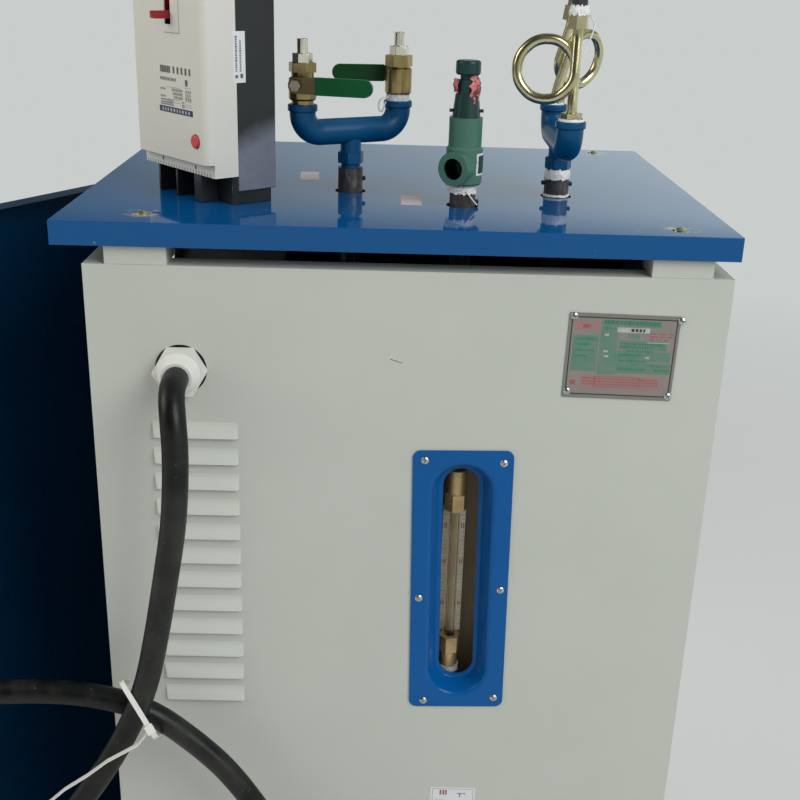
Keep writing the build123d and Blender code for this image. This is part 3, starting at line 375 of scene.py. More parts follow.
# Painted shade: the nylon nut behind the front panel is made near-black where it shows round the hole.
def locknut_hole_shade(tree, place, tint):
    y = axes(tree, place)[1]
    behind = span(tree, y, 0.0, 1.0, (FRONT - 0.1) * MM, (FRONT + 0.4) * MM)
    return mix_color(tree, behind, tint, HOLE_SHADE_BLACK)


def warm_grey(name, mark=None):
    return skin(
        name, (0.50, 0.52, 0.465), (0.475, 0.495, 0.44), 0.42, 700, 0.03,
        dirt=(FLOOR_DIRT, 0.35), mark=mark,
    )


# name, colour, worn colour, roughness, scale of the grain, its depth in mm, index of refraction
panel_paint = warm_grey("panel_paint")
front_paint = warm_grey("front_paint", painted_hood_highlight)
blue_gloss = skin("blue_gloss", (0.001, 0.092, 0.31), (0.001, 0.082, 0.27), 0.13, 500, 0.006, 1.28)
blue_casting = skin(
    "blue_casting", (0.001, 0.074, 0.19), (0.001, 0.048, 0.125), 0.26, 650, 0.12, 1.32
)
# The door's blue is darkened as painted shade for the shadow it stands in; its rising dirt is real.
door_blue_shaded = skin(
    "door_blue_shaded", (0.001, 0.029, 0.078), (0.001, 0.022, 0.060), 0.24, 500, 0.02, 1.27,
    dirt=((0.030, 0.027, 0.026), 0.25),
)
dark_green = skin("dark_green", (0.005, 0.034, 0.034), (0.009, 0.048, 0.045), 0.26, 600, 0.08)
white_nylon = skin("white_nylon", *NYLON)
gland_nylon = skin("gland_nylon", *NYLON, PLAIN_INDEX, mark=locknut_hole_shade)
handle_red = skin("handle_red", (0.30, 0.012, 0.014), (0.24, 0.010, 0.012), 0.25, 900, 0.01)
button_red = skin("button_red", (0.56, 0.050, 0.050), (0.48, 0.042, 0.042), 0.3, 900, 0.01)
gauge_black = skin("gauge_black", (0.02, 0.02, 0.022), (0.03, 0.03, 0.032), 0.35, 900, 0.03)
switch_grey = skin("switch_grey", (0.10, 0.11, 0.12), (0.13, 0.14, 0.15), 0.35, 900, 0.05)
vessel_steel = skin("vessel_steel", (0.42, 0.33, 0.19), (0.52, 0.44, 0.29), 0.5, 300, 0.15)
print("paints and plastics:", len(bpy.data.materials))

# %% [markdown]
# ## The bare metals
#
# Brass valves have dulled, the siphon tubes are zinc with a yellow film, and the outlet stubs are
# chromed. A metal's colour is that of its reflection. The gauge cocks carry a film of grease, which
# hides part of the metal, so their Metallic lies between a paint's 0 and a bare metal's 1.

# %% Metals
GREASY = 0.6             # how much of the metal shows through the film on the gauge cocks

# name, colour, dull colour, roughness; then how far the lines are drawn out, and their scale
brass = metal("brass", (0.56, 0.44, 0.19), (0.27, 0.195, 0.085), 0.27)
yellow_zinc = metal(
    "yellow_zinc", (0.74, 0.68, 0.42), (0.46, 0.41, 0.23), 0.23, 0.2, 260.0, 0.55, 0.0, 0.03
)
gauge_brass = metal("gauge_brass", (0.56, 0.40, 0.19), (0.26, 0.18, 0.09), 0.36, shown=GREASY)
chrome = metal("chrome", (0.94, 0.91, 0.80), (0.76, 0.72, 0.60), 0.16)
plain_zinc = metal("plain_zinc", (0.68, 0.68, 0.67), (0.48, 0.48, 0.47), 0.25)
print("with metals:", len(bpy.data.materials))

# %% [markdown]
# ## Finishes that need their own tree
#
# Galvanised sheet shows crystals, each a slightly different grey. The inner side of the back panel
# is near-black, painted shade for the dim inside of the cabinet, so that finish asks on which side
# of the sheet a point lies. The supply cable is matt rubber with dust rubbed into it. Glass is the
# same shader with Transmission, and stays plain.

# %% Galvanised sheet, rubber and glass
# near-black painted shade for the inside of the cabinet
INSIDE_SHADE = (0.020, 0.024, 0.023)
BACK_INSIDE = 243.6      # inner face of the back panel lies just before this level of Y
ZINC_SHINE = 0.8         # Metallic of weathered zinc


def galvanised_sheet(name, inside=None):
    """Zinc crystals; inside is the level of Y below which a face is near-black, as painted shade."""
    material, tree, shader, place = start_material(name)
    crystals = use_group(tree, SPANGLE, place, Scale=85.0)
    tint = mix_color(tree, crystals, (0.40, 0.42, 0.42), (0.56, 0.58, 0.58))
    low = use_group(tree, RISING_DIRT, place, High=0.2)
    tint = mix_color(tree, low, tint, FLOOR_DIRT)
    bare = ZINC_SHINE
    if inside is not None:
        y = axes(tree, place)[1]
        bare = span(tree, y, 0.0, ZINC_SHINE, inside * MM, (inside + 0.5) * MM)
        tint = mix_color(tree, bare, INSIDE_SHADE, tint)
    set_inputs(shader, {
        "Base Color": tint, "Roughness": span(tree, crystals, 0.35, 0.55), "Metallic": bare,
    })
    return material


def cable_rubber():
    """Black rubber with dust rubbed in, a thin grey film in places and a few pale specks."""
    material, tree, shader, place = start_material("cable_rubber")
    rubbed = use_group(tree, PATCHES, place, Scale=38.0, Edge=0.56, Softness=0.12)
    tint = mix_color(tree, rubbed, (0.003, 0.004, 0.003), (0.011, 0.012, 0.010))
    film = use_group(tree, PATCHES, place, Scale=11.0, Edge=0.58, Softness=0.10)
    tint = mix_color(tree, film, tint, (0.024, 0.025, 0.019))
    dusty = use_group(tree, SPECKS, place, Scale=420.0, Size=0.3, Share=0.988)
    set_inputs(shader, {
        "Base Color": mix_color(tree, dusty, tint, (0.07, 0.068, 0.058)),
        "Roughness": span(tree, rubbed, 0.36, 0.58), "IOR": 1.36,
    })
    bump(tree, shader, use_group(tree, GRAIN, place, Scale=420.0, Wave=1.2), 0.12 * MM)
    return material


galvanised = galvanised_sheet("galvanised")
# The back panel's inner face and the partition are near-black as painted shade inside the cabinet.
back_inside_shaded = galvanised_sheet("back_inside_shaded", BACK_INSIDE)
partition_shaded = skin("partition_shaded", INSIDE_SHADE, (0.028, 0.032, 0.030), 0.5, 400, 0.05)
rubber = cable_rubber()
glass, _, glass_shader, _ = start_material("clear_glass")
set_inputs(glass_shader, {
    "Base Color": (0.97, 0.93, 0.84, 1), "Roughness": 0.02, "IOR": 1.22,
    "Transmission Weight": 1.0,
})
print("finishes:", len(bpy.data.materials))

# %% [markdown]
# ## The supply cable
#
# A four-core cable as thick as a thumb leaves the gland, hangs down the front, makes one wide loop
# to the left and comes back behind itself at the tie. It is one NURBS curve: the chosen points pull
# on a smooth line, as a stiff cable's own spring does. What the view doesn't show lies in two turns
# on the floor, in front of the machine.

# %% Route of the cable
CABLE_R = 12.0 * MM
GLAND_MOUTH = (-213.5, -271.0, 1109.0)
ROUTE = [
    GLAND_MOUTH, (-213.5, -289, 1109), (-212, -306, 1102), (-209, -318, 1086),
    (-207, -324, 1060), (-208, -326, 1024), (-212, -325, 982), (-221, -323, 932),
    (-232, -321, 872), (-247, -319, 803), (-273, -319, 740), (-315, -321, 671),
    (-361, -322, 606), (-408, -322, 541), (-458, -321, 511), (-514, -319, 506),
    (-566, -317, 526), (-606, -314, 566), (-627, -311, 618), (-625, -308, 674),
    (-600, -305, 723), (-556, -302, 755), (-500, -299, 770), (-438, -297, 776),
    (-370, -295, 780), (-309, -294, 777), (-252, -294, 760), (-204, -294, 719),
    (-168, -297, 682), (-130, -301, 622), (-108, -308, 556), (-97, -318, 486),
    (-92, -329, 412), (-93, -341, 338), (-97, -356, 266), (-106, -377, 197),
    (-120, -405, 136), (-142, -441, 86), (-173, -486, 54), (-214, -533, 36),
    (-258, -574, 36),
]
COIL_R = 132.0           # middle of the turns
COIL_STEPS = 14          # points for each turn
COIL_TURNS = 1.83
DROP_START = 0.82        # where in the first turn the coil begins to sink to the floor
DROP = 0.18              # and for how much of a turn it sinks


def coil_points():
    """One turn on the upper level, down over the gap, and most of a turn on the floor."""
    end = Vector(ROUTE[-1])
    way = (end - Vector(ROUTE[-2])).xy.normalized()
    side = Vector((-way.y, way.x))
    centre = end.xy + side * COIL_R
    start = math.atan2(-side.y, -side.x)
    low = CABLE_R / MM
    high = 3 * low
    points = []
    for step in range(1, round(COIL_TURNS * COIL_STEPS) + 1):
        turned = step / COIL_STEPS
        fall = min(max((turned - DROP_START) / DROP, 0), 1)
        angle = start + turned * math.tau
        level = high + (low - high) * fall
        points.append((
            centre.x + COIL_R * math.cos(angle), centre.y + COIL_R * math.sin(angle), level
        ))
    return points


print("points on the way and in the coil:", len(ROUTE), len(coil_points()))

# %% [markdown]
# ## One smooth curve for the cable
#
# The points of a NURBS curve pull on the line without lying on it, which gives the even bends of a
# stiff cable. Order 3 keeps it close to them, and the endpoint option lets it start and end on the
# outer two. The curve's own bevel makes the round section, so nothing has to be swept by hand.

# %% Draw the cable
def nurbs_curve(name, path, radius=0.0, rounding=3, steps=6):
    """A smooth curve with a round section; its points are in millimetres."""
    made = bpy.data.curves.new(name, "CURVE")
    made.dimensions = "3D"
    made.bevel_depth = radius
    made.bevel_resolution = rounding
    made.resolution_u = steps
    made.use_fill_caps = True
    line = made.splines.new("NURBS")
    line.points.add(len(path) - 1)
    for point, place in zip(line.points, path):
        point.co = (*(Vector(place) * MM), 1)
    line.order_u = 3
    line.use_endpoint_u = True
    return made


cable_path = ROUTE + coil_points()
curve = nurbs_curve("supply_cable", cable_path, CABLE_R, 6, 8)
curve.materials.append(rubber)
supply_cable = bpy.data.objects.new("supply_cable", curve)
scene.collection.objects.link(supply_cable)
print("cable points:", len(cable_path))

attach(supply_cable, "cabinet")
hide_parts("power_cable", "cable_coil")

# %% [markdown]
# ## Bare cores at the far end
#
# The cable waits for its switchboard with its jacket cut back: four coloured cores stand out of it,
# each stripped to copper at the tip. Each core is a short curve that fans out from the jacket's
# end. It is turned into a plain mesh at once, because a finished piece is easier to hand on.

# %% Make the cores
CORE_COLOURS = {
    "brown": (0.13, 0.045, 0.02), "black": (0.012, 0.012, 0.013),
    "grey": (0.20, 0.205, 0.21), "green": (0.04, 0.26, 0.05),
}
CORE_R = 3.0
COPPER_R = 2.0


def add_piece(name, mesh, material, angle=35.0):
    """A finished mesh becomes a piece of the cabinet; edges over the angle stay crisp."""
    mesh.name = name
    for face in mesh.polygons:
        face.use_smooth = True
    mesh.set_sharp_from_angle(angle=math.radians(angle))
    mesh.materials.clear()
    mesh.materials.append(material)
    piece = bpy.data.objects.new(name, mesh)
    scene.collection.objects.link(piece)
    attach(piece, "cabinet")
    return piece


def plain_mesh(source):
    """What an object's curve or modifiers make, as a mesh; the object itself goes."""
    evaluated = source.evaluated_get(bpy.context.evaluated_depsgraph_get())
    mesh = bpy.data.meshes.new_from_object(evaluated)
    bpy.data.objects.remove(source)
    return mesh


def smooth_line(name, path, radius, material):
    """A thin round strand along a NURBS curve, baked to a mesh."""
    source = bpy.data.objects.new(name, nurbs_curve(name, path, radius * MM))
    scene.collection.objects.link(source)
    return add_piece(name, plain_mesh(source), material)


copper = metal("copper", (0.85, 0.40, 0.22), (0.50, 0.22, 0.12), 0.3, 0.1, 900.0)
end_point = Vector(cable_path[-1])
end_way = (end_point - Vector(cable_path[-2])).normalized()
end_side = Vector((-end_way.y, end_way.x, 0))
for number, (label, colour) in enumerate(CORE_COLOURS.items()):
    spread = (number - 1.5) * 6.0
    root = end_point + end_side * spread * 0.6 - Vector((0, 0, 1.5))
    bend = root + end_way * 16 + end_side * spread * 0.5 - Vector((0, 0, 4))
    tip = root + end_way * 32 + end_side * spread * 0.5 - Vector((0, 0, 6.5))
    insulation = skin("core_" + label, colour, tuple(c * 0.8 for c in colour), 0.4, 900, 0.01)
    path = [root - end_way * 3, root + end_way * 6, bend, tip]
    smooth_line("core_" + label, path, CORE_R, insulation)
    path = [tip - end_way * 2, tip + end_way * 4, tip + end_way * 9]
    smooth_line("copper_" + label, path, COPPER_R, copper)

# %% [markdown]
# ## The cable's facts
#
# The length is measured on the curve itself, so it stays right when the route changes.

cable_length = nurbs_curve("length", cable_path, steps=12).splines[0].calc_length()
print("cable length, m:", round(cable_length, 3))

# %% [markdown]
# ## Marks in fixed places: the lid
#
# The lid is the piece that catches the eye. Its enamel mirrors the room, so dust, wiped patches and
# a little flux burnt round the screws show mostly where the mirror gets dull. A mark in a fixed
# place is made from the distance between the surface point and a chosen spot.

# %% Lid enamel
LID_TOP = 1250.0
LID_SCREWS = [(-248.6, -210.8), (249.0, -223.8), (242.9, 229.0), (-248.0, 229.0)]


def measured(tree, operation, place, vector):
    """One number from a place and a fixed vector: their DISTANCE, or their DOT_PRODUCT."""
    made = tree.nodes.new("ShaderNodeVectorMath")
    made.operation = operation
    plug(made.inputs[0], place)
    plug(made.inputs[1], vector)
    return made.outputs["Value"]


def near(tree, place, spot, low, high):
    """1 within the low distance of a spot, 0 beyond the high one, in metres."""
    return span(tree, measured(tree, "DISTANCE", place, spot), 1.0, 0.0, low, high)


def lid_enamel():
    material, tree, shader, place = start_material("lid_enamel")
    haze = use_group(tree, PATCHES, place, Scale=3.2, Edge=0.52, Softness=0.22)
    tint = mix_color(tree, haze, (0.001, 0.072, 0.235), (0.003, 0.078, 0.225))
    dust = use_group(tree, SPECKS, place, Scale=95.0, Size=0.10, Share=0.86)
    tint = mix_color(tree, dust, tint, (0.16, 0.20, 0.25))
    blots = use_group(tree, PATCHES, place, Scale=110.0, Edge=0.52, Softness=0.05)
    for x, y in LID_SCREWS:
        ring = near(tree, place, Vector((x, y, LID_TOP)) * MM, 6 * MM, 21 * MM)
        tint = mix_color(tree, times(tree, ring, blots), tint, (0.42, 0.36, 0.26))
    wiped = use_group(tree, PATCHES, place, Scale=11.0, Edge=0.56, Softness=0.16)
    dull = calculate(tree, "ADD", times(tree, wiped, 0.05), times(tree, dust, 0.3))
    set_inputs(shader, {
        "Base Color": tint, "Roughness": span(tree, dull, 0.045, 0.345), "IOR": 1.36,
    })
    bump(tree, shader, use_group(tree, GRAIN, place, Scale=160.0, Wave=1.0), 0.015 * MM, 0.5)
    return material


lid_blue = lid_enamel()
print("flux rings on the lid:", len(LID_SCREWS))

# %% [markdown]
# ## Pipe sockets and levers
#
# The steel sockets on the lid are brown and smoky, with light scuffs. A valve lever is a strip of
# tarnished steel whose far end was dipped in green plastic, and its nut is brighter. All three are
# one solid, so the finish asks how far a point lies along the lever, and how near the nut it is.

# %% Sockets and levers
LEVER_FACE = 26.4        # front of the lever's nut, from the valve's centre line
NUT_BALL = 11.0          # radius of the ball that colours the nut, round a point before it
BEFORE_NUT = 8.0


def dirty_socket():
    material, tree, shader, place = start_material("dirty_socket")
    smoke = use_group(tree, PATCHES, place, Scale=70.0, Edge=0.5, Softness=0.2)
    tint = mix_color(tree, smoke, (0.17, 0.155, 0.14), (0.035, 0.030, 0.028))
    streaks = use_group(tree, BRUSHING, place, Scale=330.0, Drawn=0.15)
    tint = mix_color(tree, span(tree, streaks, 0, 1, 0.58, 0.78), tint, (0.42, 0.40, 0.36))
    set_inputs(shader, {
        "Base Color": tint, "Roughness": span(tree, smoke, 0.28, 0.5),
        "Metallic": span(tree, smoke, 0.9, 0.4),
    })
    bump(tree, shader, streaks, 0.08 * MM)
    return material


def lever_finish(name, joint_name, sleeve, colour):
    """Green plastic beyond the sleeve's distance from the stem, tarnished steel before it."""
    stem = next(j for j in frame["joints"] if j["name"] == joint_name)
    stem_place = Vector(stem["pos_m"])
    way = Vector((-stem["axis"][1], stem["axis"][0], 0)).normalized()
    material, tree, shader, place = start_material(name)
    along = measured(tree, "DOT_PRODUCT", place, way)
    start = stem_place.dot(way) + sleeve * MM
    bare = span(tree, along, 1.0, 0.0, start - 0.4 * MM, start - 0.2 * MM)
    mottled = use_group(tree, PATCHES, place, Scale=30.0, Edge=0.5, Softness=0.3)
    green = mix_color(tree, mottled, colour, tuple(c * 1.3 for c in colour))
    tarnish = mix_color(tree, mottled, (0.23, 0.17, 0.095), (0.085, 0.062, 0.038))
    out = Vector(stem["axis"]).normalized() * (LEVER_FACE + BEFORE_NUT) * MM
    nut = near(tree, place, stem_place + out, NUT_BALL * MM, (NUT_BALL + 0.3) * MM)
    tarnish = mix_color(tree, nut, tarnish, (0.42, 0.37, 0.28))
    lines = use_group(tree, BRUSHING, place, Scale=400.0, Drawn=0.2)
    set_inputs(shader, {
        "Base Color": mix_color(tree, bare, green, tarnish), "Metallic": bare,
        "Roughness": span(tree, lines, 0.27, 0.42), "IOR": 1.3,
    })
    bump(tree, shader, use_group(tree, GRAIN, place, Scale=600.0), 0.02 * MM)
    return material


socket_steel = dirty_socket()
left_lever = lever_finish("left_lever_green", "left_valve_stem", 19.5, (0.001, 0.066, 0.018))
right_lever = lever_finish("right_lever_green", "right_valve_stem", 12.5, (0.001, 0.045, 0.010))
print("lever finishes:", left_lever.name, right_lever.name)

# %% [markdown]
# ## The breaker's two mouldings
#
# The breaker stands turned on the lid. A Mapping node of the Texture kind undoes that turn, so a
# place can be given along the breaker's own width, depth and height. The toggle's slot is painted
# dark red inside, for the red shield's light, fading to painted shade black at its foot; a mauve
# patch low on the right side of the base is a painted reflection.

# %% Breaker finishes
BREAKER_PLACE = Vector((-170.9, -164.7, LID_TOP)) * MM     # its lower front right corner
BREAKER_TURN = math.radians(-49.8)
SLOT_MIDDLE = -59.0      # of the toggle's slot, along the breaker's width
SLOT_HALF = 5.7          # half its width
SLOT_LOW = 162           # its foot


def breaker_axes(tree, place):
    """The place along the breaker's own width, depth and height."""
    turned = tree.nodes.new("ShaderNodeMapping")
    turned.vector_type = "TEXTURE"
    set_inputs(turned, {
        "Vector": place, "Location": BREAKER_PLACE, "Rotation": (0, 0, BREAKER_TURN),
    })
    return axes(tree, turned.outputs[0])


# Painted light: dark red for the red shield's light in the slot, fading to painted shade black at its foot.
def slot_red_glow_and_shade(tree, place, tint):
    x, y, z = breaker_axes(tree, place)
    off_middle = calculate(tree, "ABSOLUTE", calculate(tree, "ADD", x, -SLOT_MIDDLE * MM))
    inside = times(
        tree, span(tree, off_middle, 1.0, 0.0, SLOT_HALF * MM, (SLOT_HALF + 0.2) * MM),
        span(tree, y, 0.0, 1.0, -29.3 * MM, -28.6 * MM),
    )
    above = span(tree, z, 0.0, 1.0, SLOT_LOW * MM, (SLOT_LOW + 0.5) * MM)
    depth = span(tree, z, 0.0, 1.0, (SLOT_LOW + 9) * MM, (SLOT_LOW + 15) * MM)
    slot_painted_light = mix_color(tree, depth, (0.012, 0.004, 0.004), (0.20, 0.008, 0.014))
    return mix_color(tree, times(tree, inside, above), tint, slot_painted_light)


# Painted reflection: a mauve patch low on the right side of the base.
def side_painted_reflection(tree, place, tint):
    x, y, z = breaker_axes(tree, place)
    side = span(tree, x, 0.0, 1.0, 0.4 * MM, 0.8 * MM)
    slant = calculate(tree, "SUBTRACT", z, times(tree, y, 0.35))
    ragged = use_group(tree, PATCHES, place, Scale=55.0, Edge=0.5, Softness=0.35)
    edge = calculate(tree, "ADD", slant, times(tree, ragged, 12 * MM))
    low = span(tree, edge, 1.0, 0.0, 52 * MM, 74 * MM)
    mauve = mix_color(tree, ragged, (0.115, 0.125, 0.155), (0.175, 0.190, 0.235))
    return mix_color(tree, times(tree, side, low), tint, mauve)


breaker_white = skin(
    "breaker_white", (0.64, 0.63, 0.57), (0.60, 0.59, 0.53), 0.4, 1200, 0.03, PLAIN_INDEX,
    mark=slot_red_glow_and_shade,
)
breaker_grey = clouded(
    "breaker_grey", (0.010, 0.012, 0.012), (0.017, 0.020, 0.020), 24.0, (0.22, 0.34), 0.5, 0.3,
    1200.0, 0.03, mark=side_painted_reflection,
)
print("breaker turned by, degrees:", round(math.degrees(BREAKER_TURN), 1))

# %% [markdown]
# ## Safety valve, rating plate and gauge scale
#
# The valve's threaded outlet is near-black inside, as painted shade in the bore: the mark is a ball
# round a point just behind the outlet's mouth. The rating plate is anodised aluminium under old
# varnish, with a fine grain that sets its gloss. The gauge scale was once white and has clouded.

# %% Valve, plate and scale
OUTLET = next(m for m in frame["record"]["mounts"] if m["name"] == "safety_discharge")


# Painted shade: near-black inside the outlet's bore.
def outlet_bore_shade(tree, place, tint):
    deep = Vector(OUTLET["pos_m"]) - Vector(OUTLET["axis"]) * 3 * MM
    inside = near(tree, place, deep, 14.5 * MM, 16.3 * MM)
    return mix_color(tree, inside, tint, (0.004, 0.005, 0.005))


def varnished_plate():
    material, tree, shader, place = start_material("plate_metal")
    stain = use_group(tree, PATCHES, place, Scale=26.0, Edge=0.5, Softness=0.3)
    fine = use_group(tree, GRAIN, place, Scale=1500.0)
    set_inputs(shader, {
        "Base Color": mix_color(tree, stain, (0.270, 0.245, 0.225), (0.205, 0.225, 0.195)),
        "Roughness": span(tree, fine, 0.32, 0.5), "Metallic": 0.55,
    })
    bump(tree, shader, fine, 0.01 * MM)
    return material


valve_green = clouded(
    "valve_body_green", (0.050, 0.145, 0.10), (0.068, 0.18, 0.13), 18.0, (0.3, 0.42), 0.5, 0.3,
    450.0, 0.15, mark=outlet_bore_shade,
)
plate_metal = varnished_plate()
scale_white = clouded(
    "scale_plate", (0.64, 0.59, 0.46), (0.46, 0.41, 0.29), 60.0, (0.35, 0.6), 0.5, 0.25,
    900.0, 0.02,
)
print("finishes:", len(bpy.data.materials))

# %% [markdown]
# ## Give every CAD solid its finish
#
# Each solid comes with one plain material, which is changed for a finish here. The list reads from
# finish to solids, because one paint covers many pieces.

# %% Assign the finishes
FINISH = {
    front_paint: "front_panel",
    panel_paint: "right_panel left_frame lid_spacers",
    lid_blue: "lid",
    blue_gloss: "gauge_escutcheon",
    blue_casting: "steam_header gauge_header header_nipples",
    door_blue_shaded: "left_door",
    galvanised: "base_tray door_hinges",
    back_inside_shaded: "back_panel",
    partition_shaded: "partition",
    vessel_steel: "vessel vessel_skirt",
    socket_steel: "riser_pipes",
    brass: "left_valve right_valve",
    gauge_brass: "upper_gauge_cock lower_gauge_cock",
    yellow_zinc: "front_siphon rear_siphon",
    chrome: "outlet_nozzles door_latch",
    left_lever: "left_valve_lever",
    right_lever: "right_valve_lever",
    valve_green: "safety_valve_body",
    dark_green: "safety_valve_bonnet safety_valve_cap",
    gland_nylon: "cable_gland",
    white_nylon: "cable_tie",
    rubber: "power_cable cable_coil",
    glass: "gauge_glass",
    scale_white: "gauge_scale",
    plate_metal: "rating_plate",
    gauge_black: "pressure_gauge",
    switch_grey: "pressure_switch",
    breaker_grey: "breaker_base",
    breaker_white: "breaker_cover",
    handle_red: "breaker_handle",
    button_red: "test_button",
}
for material, names in FINISH.items():
    for name in names.split():
        for slot in nodes[name].material_slots:
            slot.material = material
finished = sum(len(names.split()) for names in FINISH.values())
print("finished solids:", finished, "of", len(nodes))

# %% [markdown]
# ## Ease the edges
#
# No folded sheet or casting has a perfectly sharp edge, and a small round catches the light. A Weld
# joins the CAD model's loose triangles, a small Geometry Nodes tree sets which edges stay crisp, a
# Bevel rounds what is sharper than an angle, and a Weighted Normal keeps large flat faces from
# being shaded as if they were bent.

# %% Round the edges
def smoothing_tree():
    """Shades all faces smooth, but keeps the edges that turn more than Angle crisp."""
    tree = bpy.data.node_groups.new("crisp_edges", "GeometryNodeTree")
    face = tree.interface
    face.new_socket("Geometry", in_out="INPUT", socket_type="NodeSocketGeometry")
    angle = face.new_socket("Angle", in_out="INPUT", socket_type="NodeSocketFloat")
    angle.default_value = math.radians(30)
    face.new_socket("Geometry", in_out="OUTPUT", socket_type="NodeSocketGeometry")
    given = tree.nodes.new("NodeGroupInput").outputs
    plain = tree.nodes.new("GeometryNodeRemoveAttribute")
    set_inputs(plain, {"Geometry": given["Geometry"], "Name": "custom_normal"})
    faces = tree.nodes.new("GeometryNodeSetShadeSmooth")
    plug(faces.inputs["Geometry"], plain.outputs["Geometry"])
    turn = tree.nodes.new("GeometryNodeInputMeshEdgeAngle").outputs["Unsigned Angle"]
    edges = tree.nodes.new("GeometryNodeSetShadeSmooth")
    edges.domain = "EDGE"
    set_inputs(edges, {
        "Geometry": faces.outputs["Geometry"],
        "Shade Smooth": calculate(tree, "LESS_THAN", turn, given["Angle"]),
    })
    plug(tree.nodes.new("NodeGroupOutput").inputs["Geometry"], edges.outputs["Geometry"])
    return tree


CRISP = smoothing_tree()
EASED = {
    0.5: "front_panel right_panel left_frame lid_spacers back_panel partition base_tray left_door",
    0.45: "lid gauge_escutcheon",
    0.8: "safety_valve_body safety_valve_bonnet",
    1.0: "breaker_cover breaker_base breaker_handle cable_gland pressure_switch",
    0.35: "left_valve right_valve upper_gauge_cock lower_gauge_cock outlet_nozzles header_nipples",
    0.3: "left_valve_lever right_valve_lever rating_plate door_latch front_siphon rear_siphon",
}


def ease(name, width):
    """Rounds a solid's sharp edges by a width in millimetres, and keeps its flats flat."""
    piece = nodes[name]
    piece.modifiers.new("weld", "WELD").merge_threshold = 0.01 * MM
    piece.modifiers.new("crisp", "NODES").node_group = CRISP
    soft = piece.modifiers.new("soft", "BEVEL")
    soft.width = width * MM
    soft.segments = 2
    soft.limit_method = "ANGLE"
    soft.angle_limit = math.radians(35)
    soft.miter_outer = "MITER_ARC"
    soft.mark_sharp = False
    flats = piece.modifiers.new("flats", "WEIGHTED_NORMAL")
    flats.mode = "FACE_AREA"
    flats.weight = 80
    flats.keep_sharp = True


for width, names in EASED.items():
    for name in names.split():
        ease(name, width)
print("eased solids:", sum(len(names.split()) for names in EASED.values()))

# %% [markdown]
# ## Trees that set things on points
#
# Screws and printed blocks are the same shape in many places. A Geometry Nodes tree can be given
# points and set a copy on each one, turned as a vector that the point carries says. The copies are
# made real at the end, since only real geometry leaves Blender. The start and the end of such a
# tree are always the same, so they are written once.

# %% Start and end of a tree
def point_tree(name, **sizes):
    """A tree that is given points, sizes and a finish; also its add function and its inputs."""
    tree = bpy.data.node_groups.new(name, "GeometryNodeTree")
    face = tree.interface
    face.new_socket("Points", in_out="INPUT", socket_type="NodeSocketGeometry")
    for label, value in sizes.items():
        face.new_socket(label, in_out="INPUT", socket_type="NodeSocketFloat").default_value = value
    face.new_socket("Finish", in_out="INPUT", socket_type="NodeSocketMaterial")
    face.new_socket("Geometry", in_out="OUTPUT", socket_type="NodeSocketGeometry")

    def add(kind, inputs=None, **options):
        made = tree.nodes.new(kind)
        for label, value in options.items():
            setattr(made, label, value)
        return set_inputs(made, inputs or {})

    return tree, add, add("NodeGroupInput").outputs


def point_vector(add, label):
    """Reads a vector that each point carries."""
    made = add("GeometryNodeInputNamedAttribute", {"Name": label}, data_type="FLOAT_VECTOR")
    return made.outputs[0]


def lifted(add, shape, level):
    up = add("ShaderNodeCombineXYZ", {"Z": level}).outputs[0]
    return add("GeometryNodeTransform", {"Geometry": shape, "Translation": up}).outputs[0]


def set_on_points(add, given, shape, placing):
    """A copy of the shape on each point, made real and given its finish."""
    put = add("GeometryNodeInstanceOnPoints", {
        "Points": given["Points"], "Instance": shape, **placing,
    })
    real = add("GeometryNodeRealizeInstances", {"Geometry": put.outputs[0]})
    paint = add("GeometryNodeSetMaterial", {
        "Geometry": real.outputs[0], "Material": given["Finish"],
    })
    plug(add("NodeGroupOutput").inputs[0], paint.outputs[0])


print("node groups so far:", len(bpy.data.node_groups))

# %% [markdown]
# ## One screw for every place
#
# The machine shows four sets of screws of three kinds: yellow ones with washers in the lid, small
# bright ones round the rating plate and the gauge escutcheon, and black ones in the pipe sockets.
# All are a rounded head with a cross recess, so one tree makes them in every size: a disc is cut
# to a dome by a ball, and two bars cut the cross.

# %% The screw tree
WASHER = 0.8             # thickness of a washer


def screw_tree():
    """A disc cut to a dome by a ball, with a cross cut into it, on a washer."""
    tree, add, given = point_tree("screws", Radius=0.004, Height=0.002, Washer=0.0)
    radius, height = given["Radius"], given["Height"]
    disc = add("GeometryNodeMeshCylinder", {"Radius": radius, "Depth": height, "Vertices": 28})
    ball_r = times(tree, radius, 1.35)
    ball = add("GeometryNodeMeshUVSphere", {"Radius": ball_r, "Segments": 32, "Rings": 24})
    dome = add("GeometryNodeMeshBoolean", operation="INTERSECT")
    plug(dome.inputs["Mesh 2"], lifted(add, disc.outputs["Mesh"], times(tree, height, 0.5)))
    low = calculate(tree, "SUBTRACT", height, ball_r)
    plug(dome.inputs["Mesh 2"], lifted(add, ball.outputs["Mesh"], low))

    arm_long = times(tree, radius, 1.25)
    arm_thin = times(tree, radius, 0.26)
    deep = times(tree, height, 1.1)
    cut = add("GeometryNodeMeshBoolean", {"Mesh 1": dome.outputs["Mesh"]}, operation="DIFFERENCE")
    for x, y in ((arm_long, arm_thin), (arm_thin, arm_long)):
        size = add("ShaderNodeCombineXYZ", {"X": x, "Y": y, "Z": deep})
        bar = add("GeometryNodeMeshCube", {"Size": size.outputs[0]})
        plug(cut.inputs["Mesh 2"], lifted(add, bar.outputs["Mesh"], height))

    washer = add("GeometryNodeMeshCylinder", {
        "Radius": given["Washer"], "Vertices": 32, "Depth": WASHER * MM,
    })
    join = add("GeometryNodeJoinGeometry")
    for part in (cut, washer):
        plug(join.inputs[0], part.outputs["Mesh"])
    set_on_points(add, given, join.outputs[0], {"Rotation": point_vector(add, "turn")})
    return tree


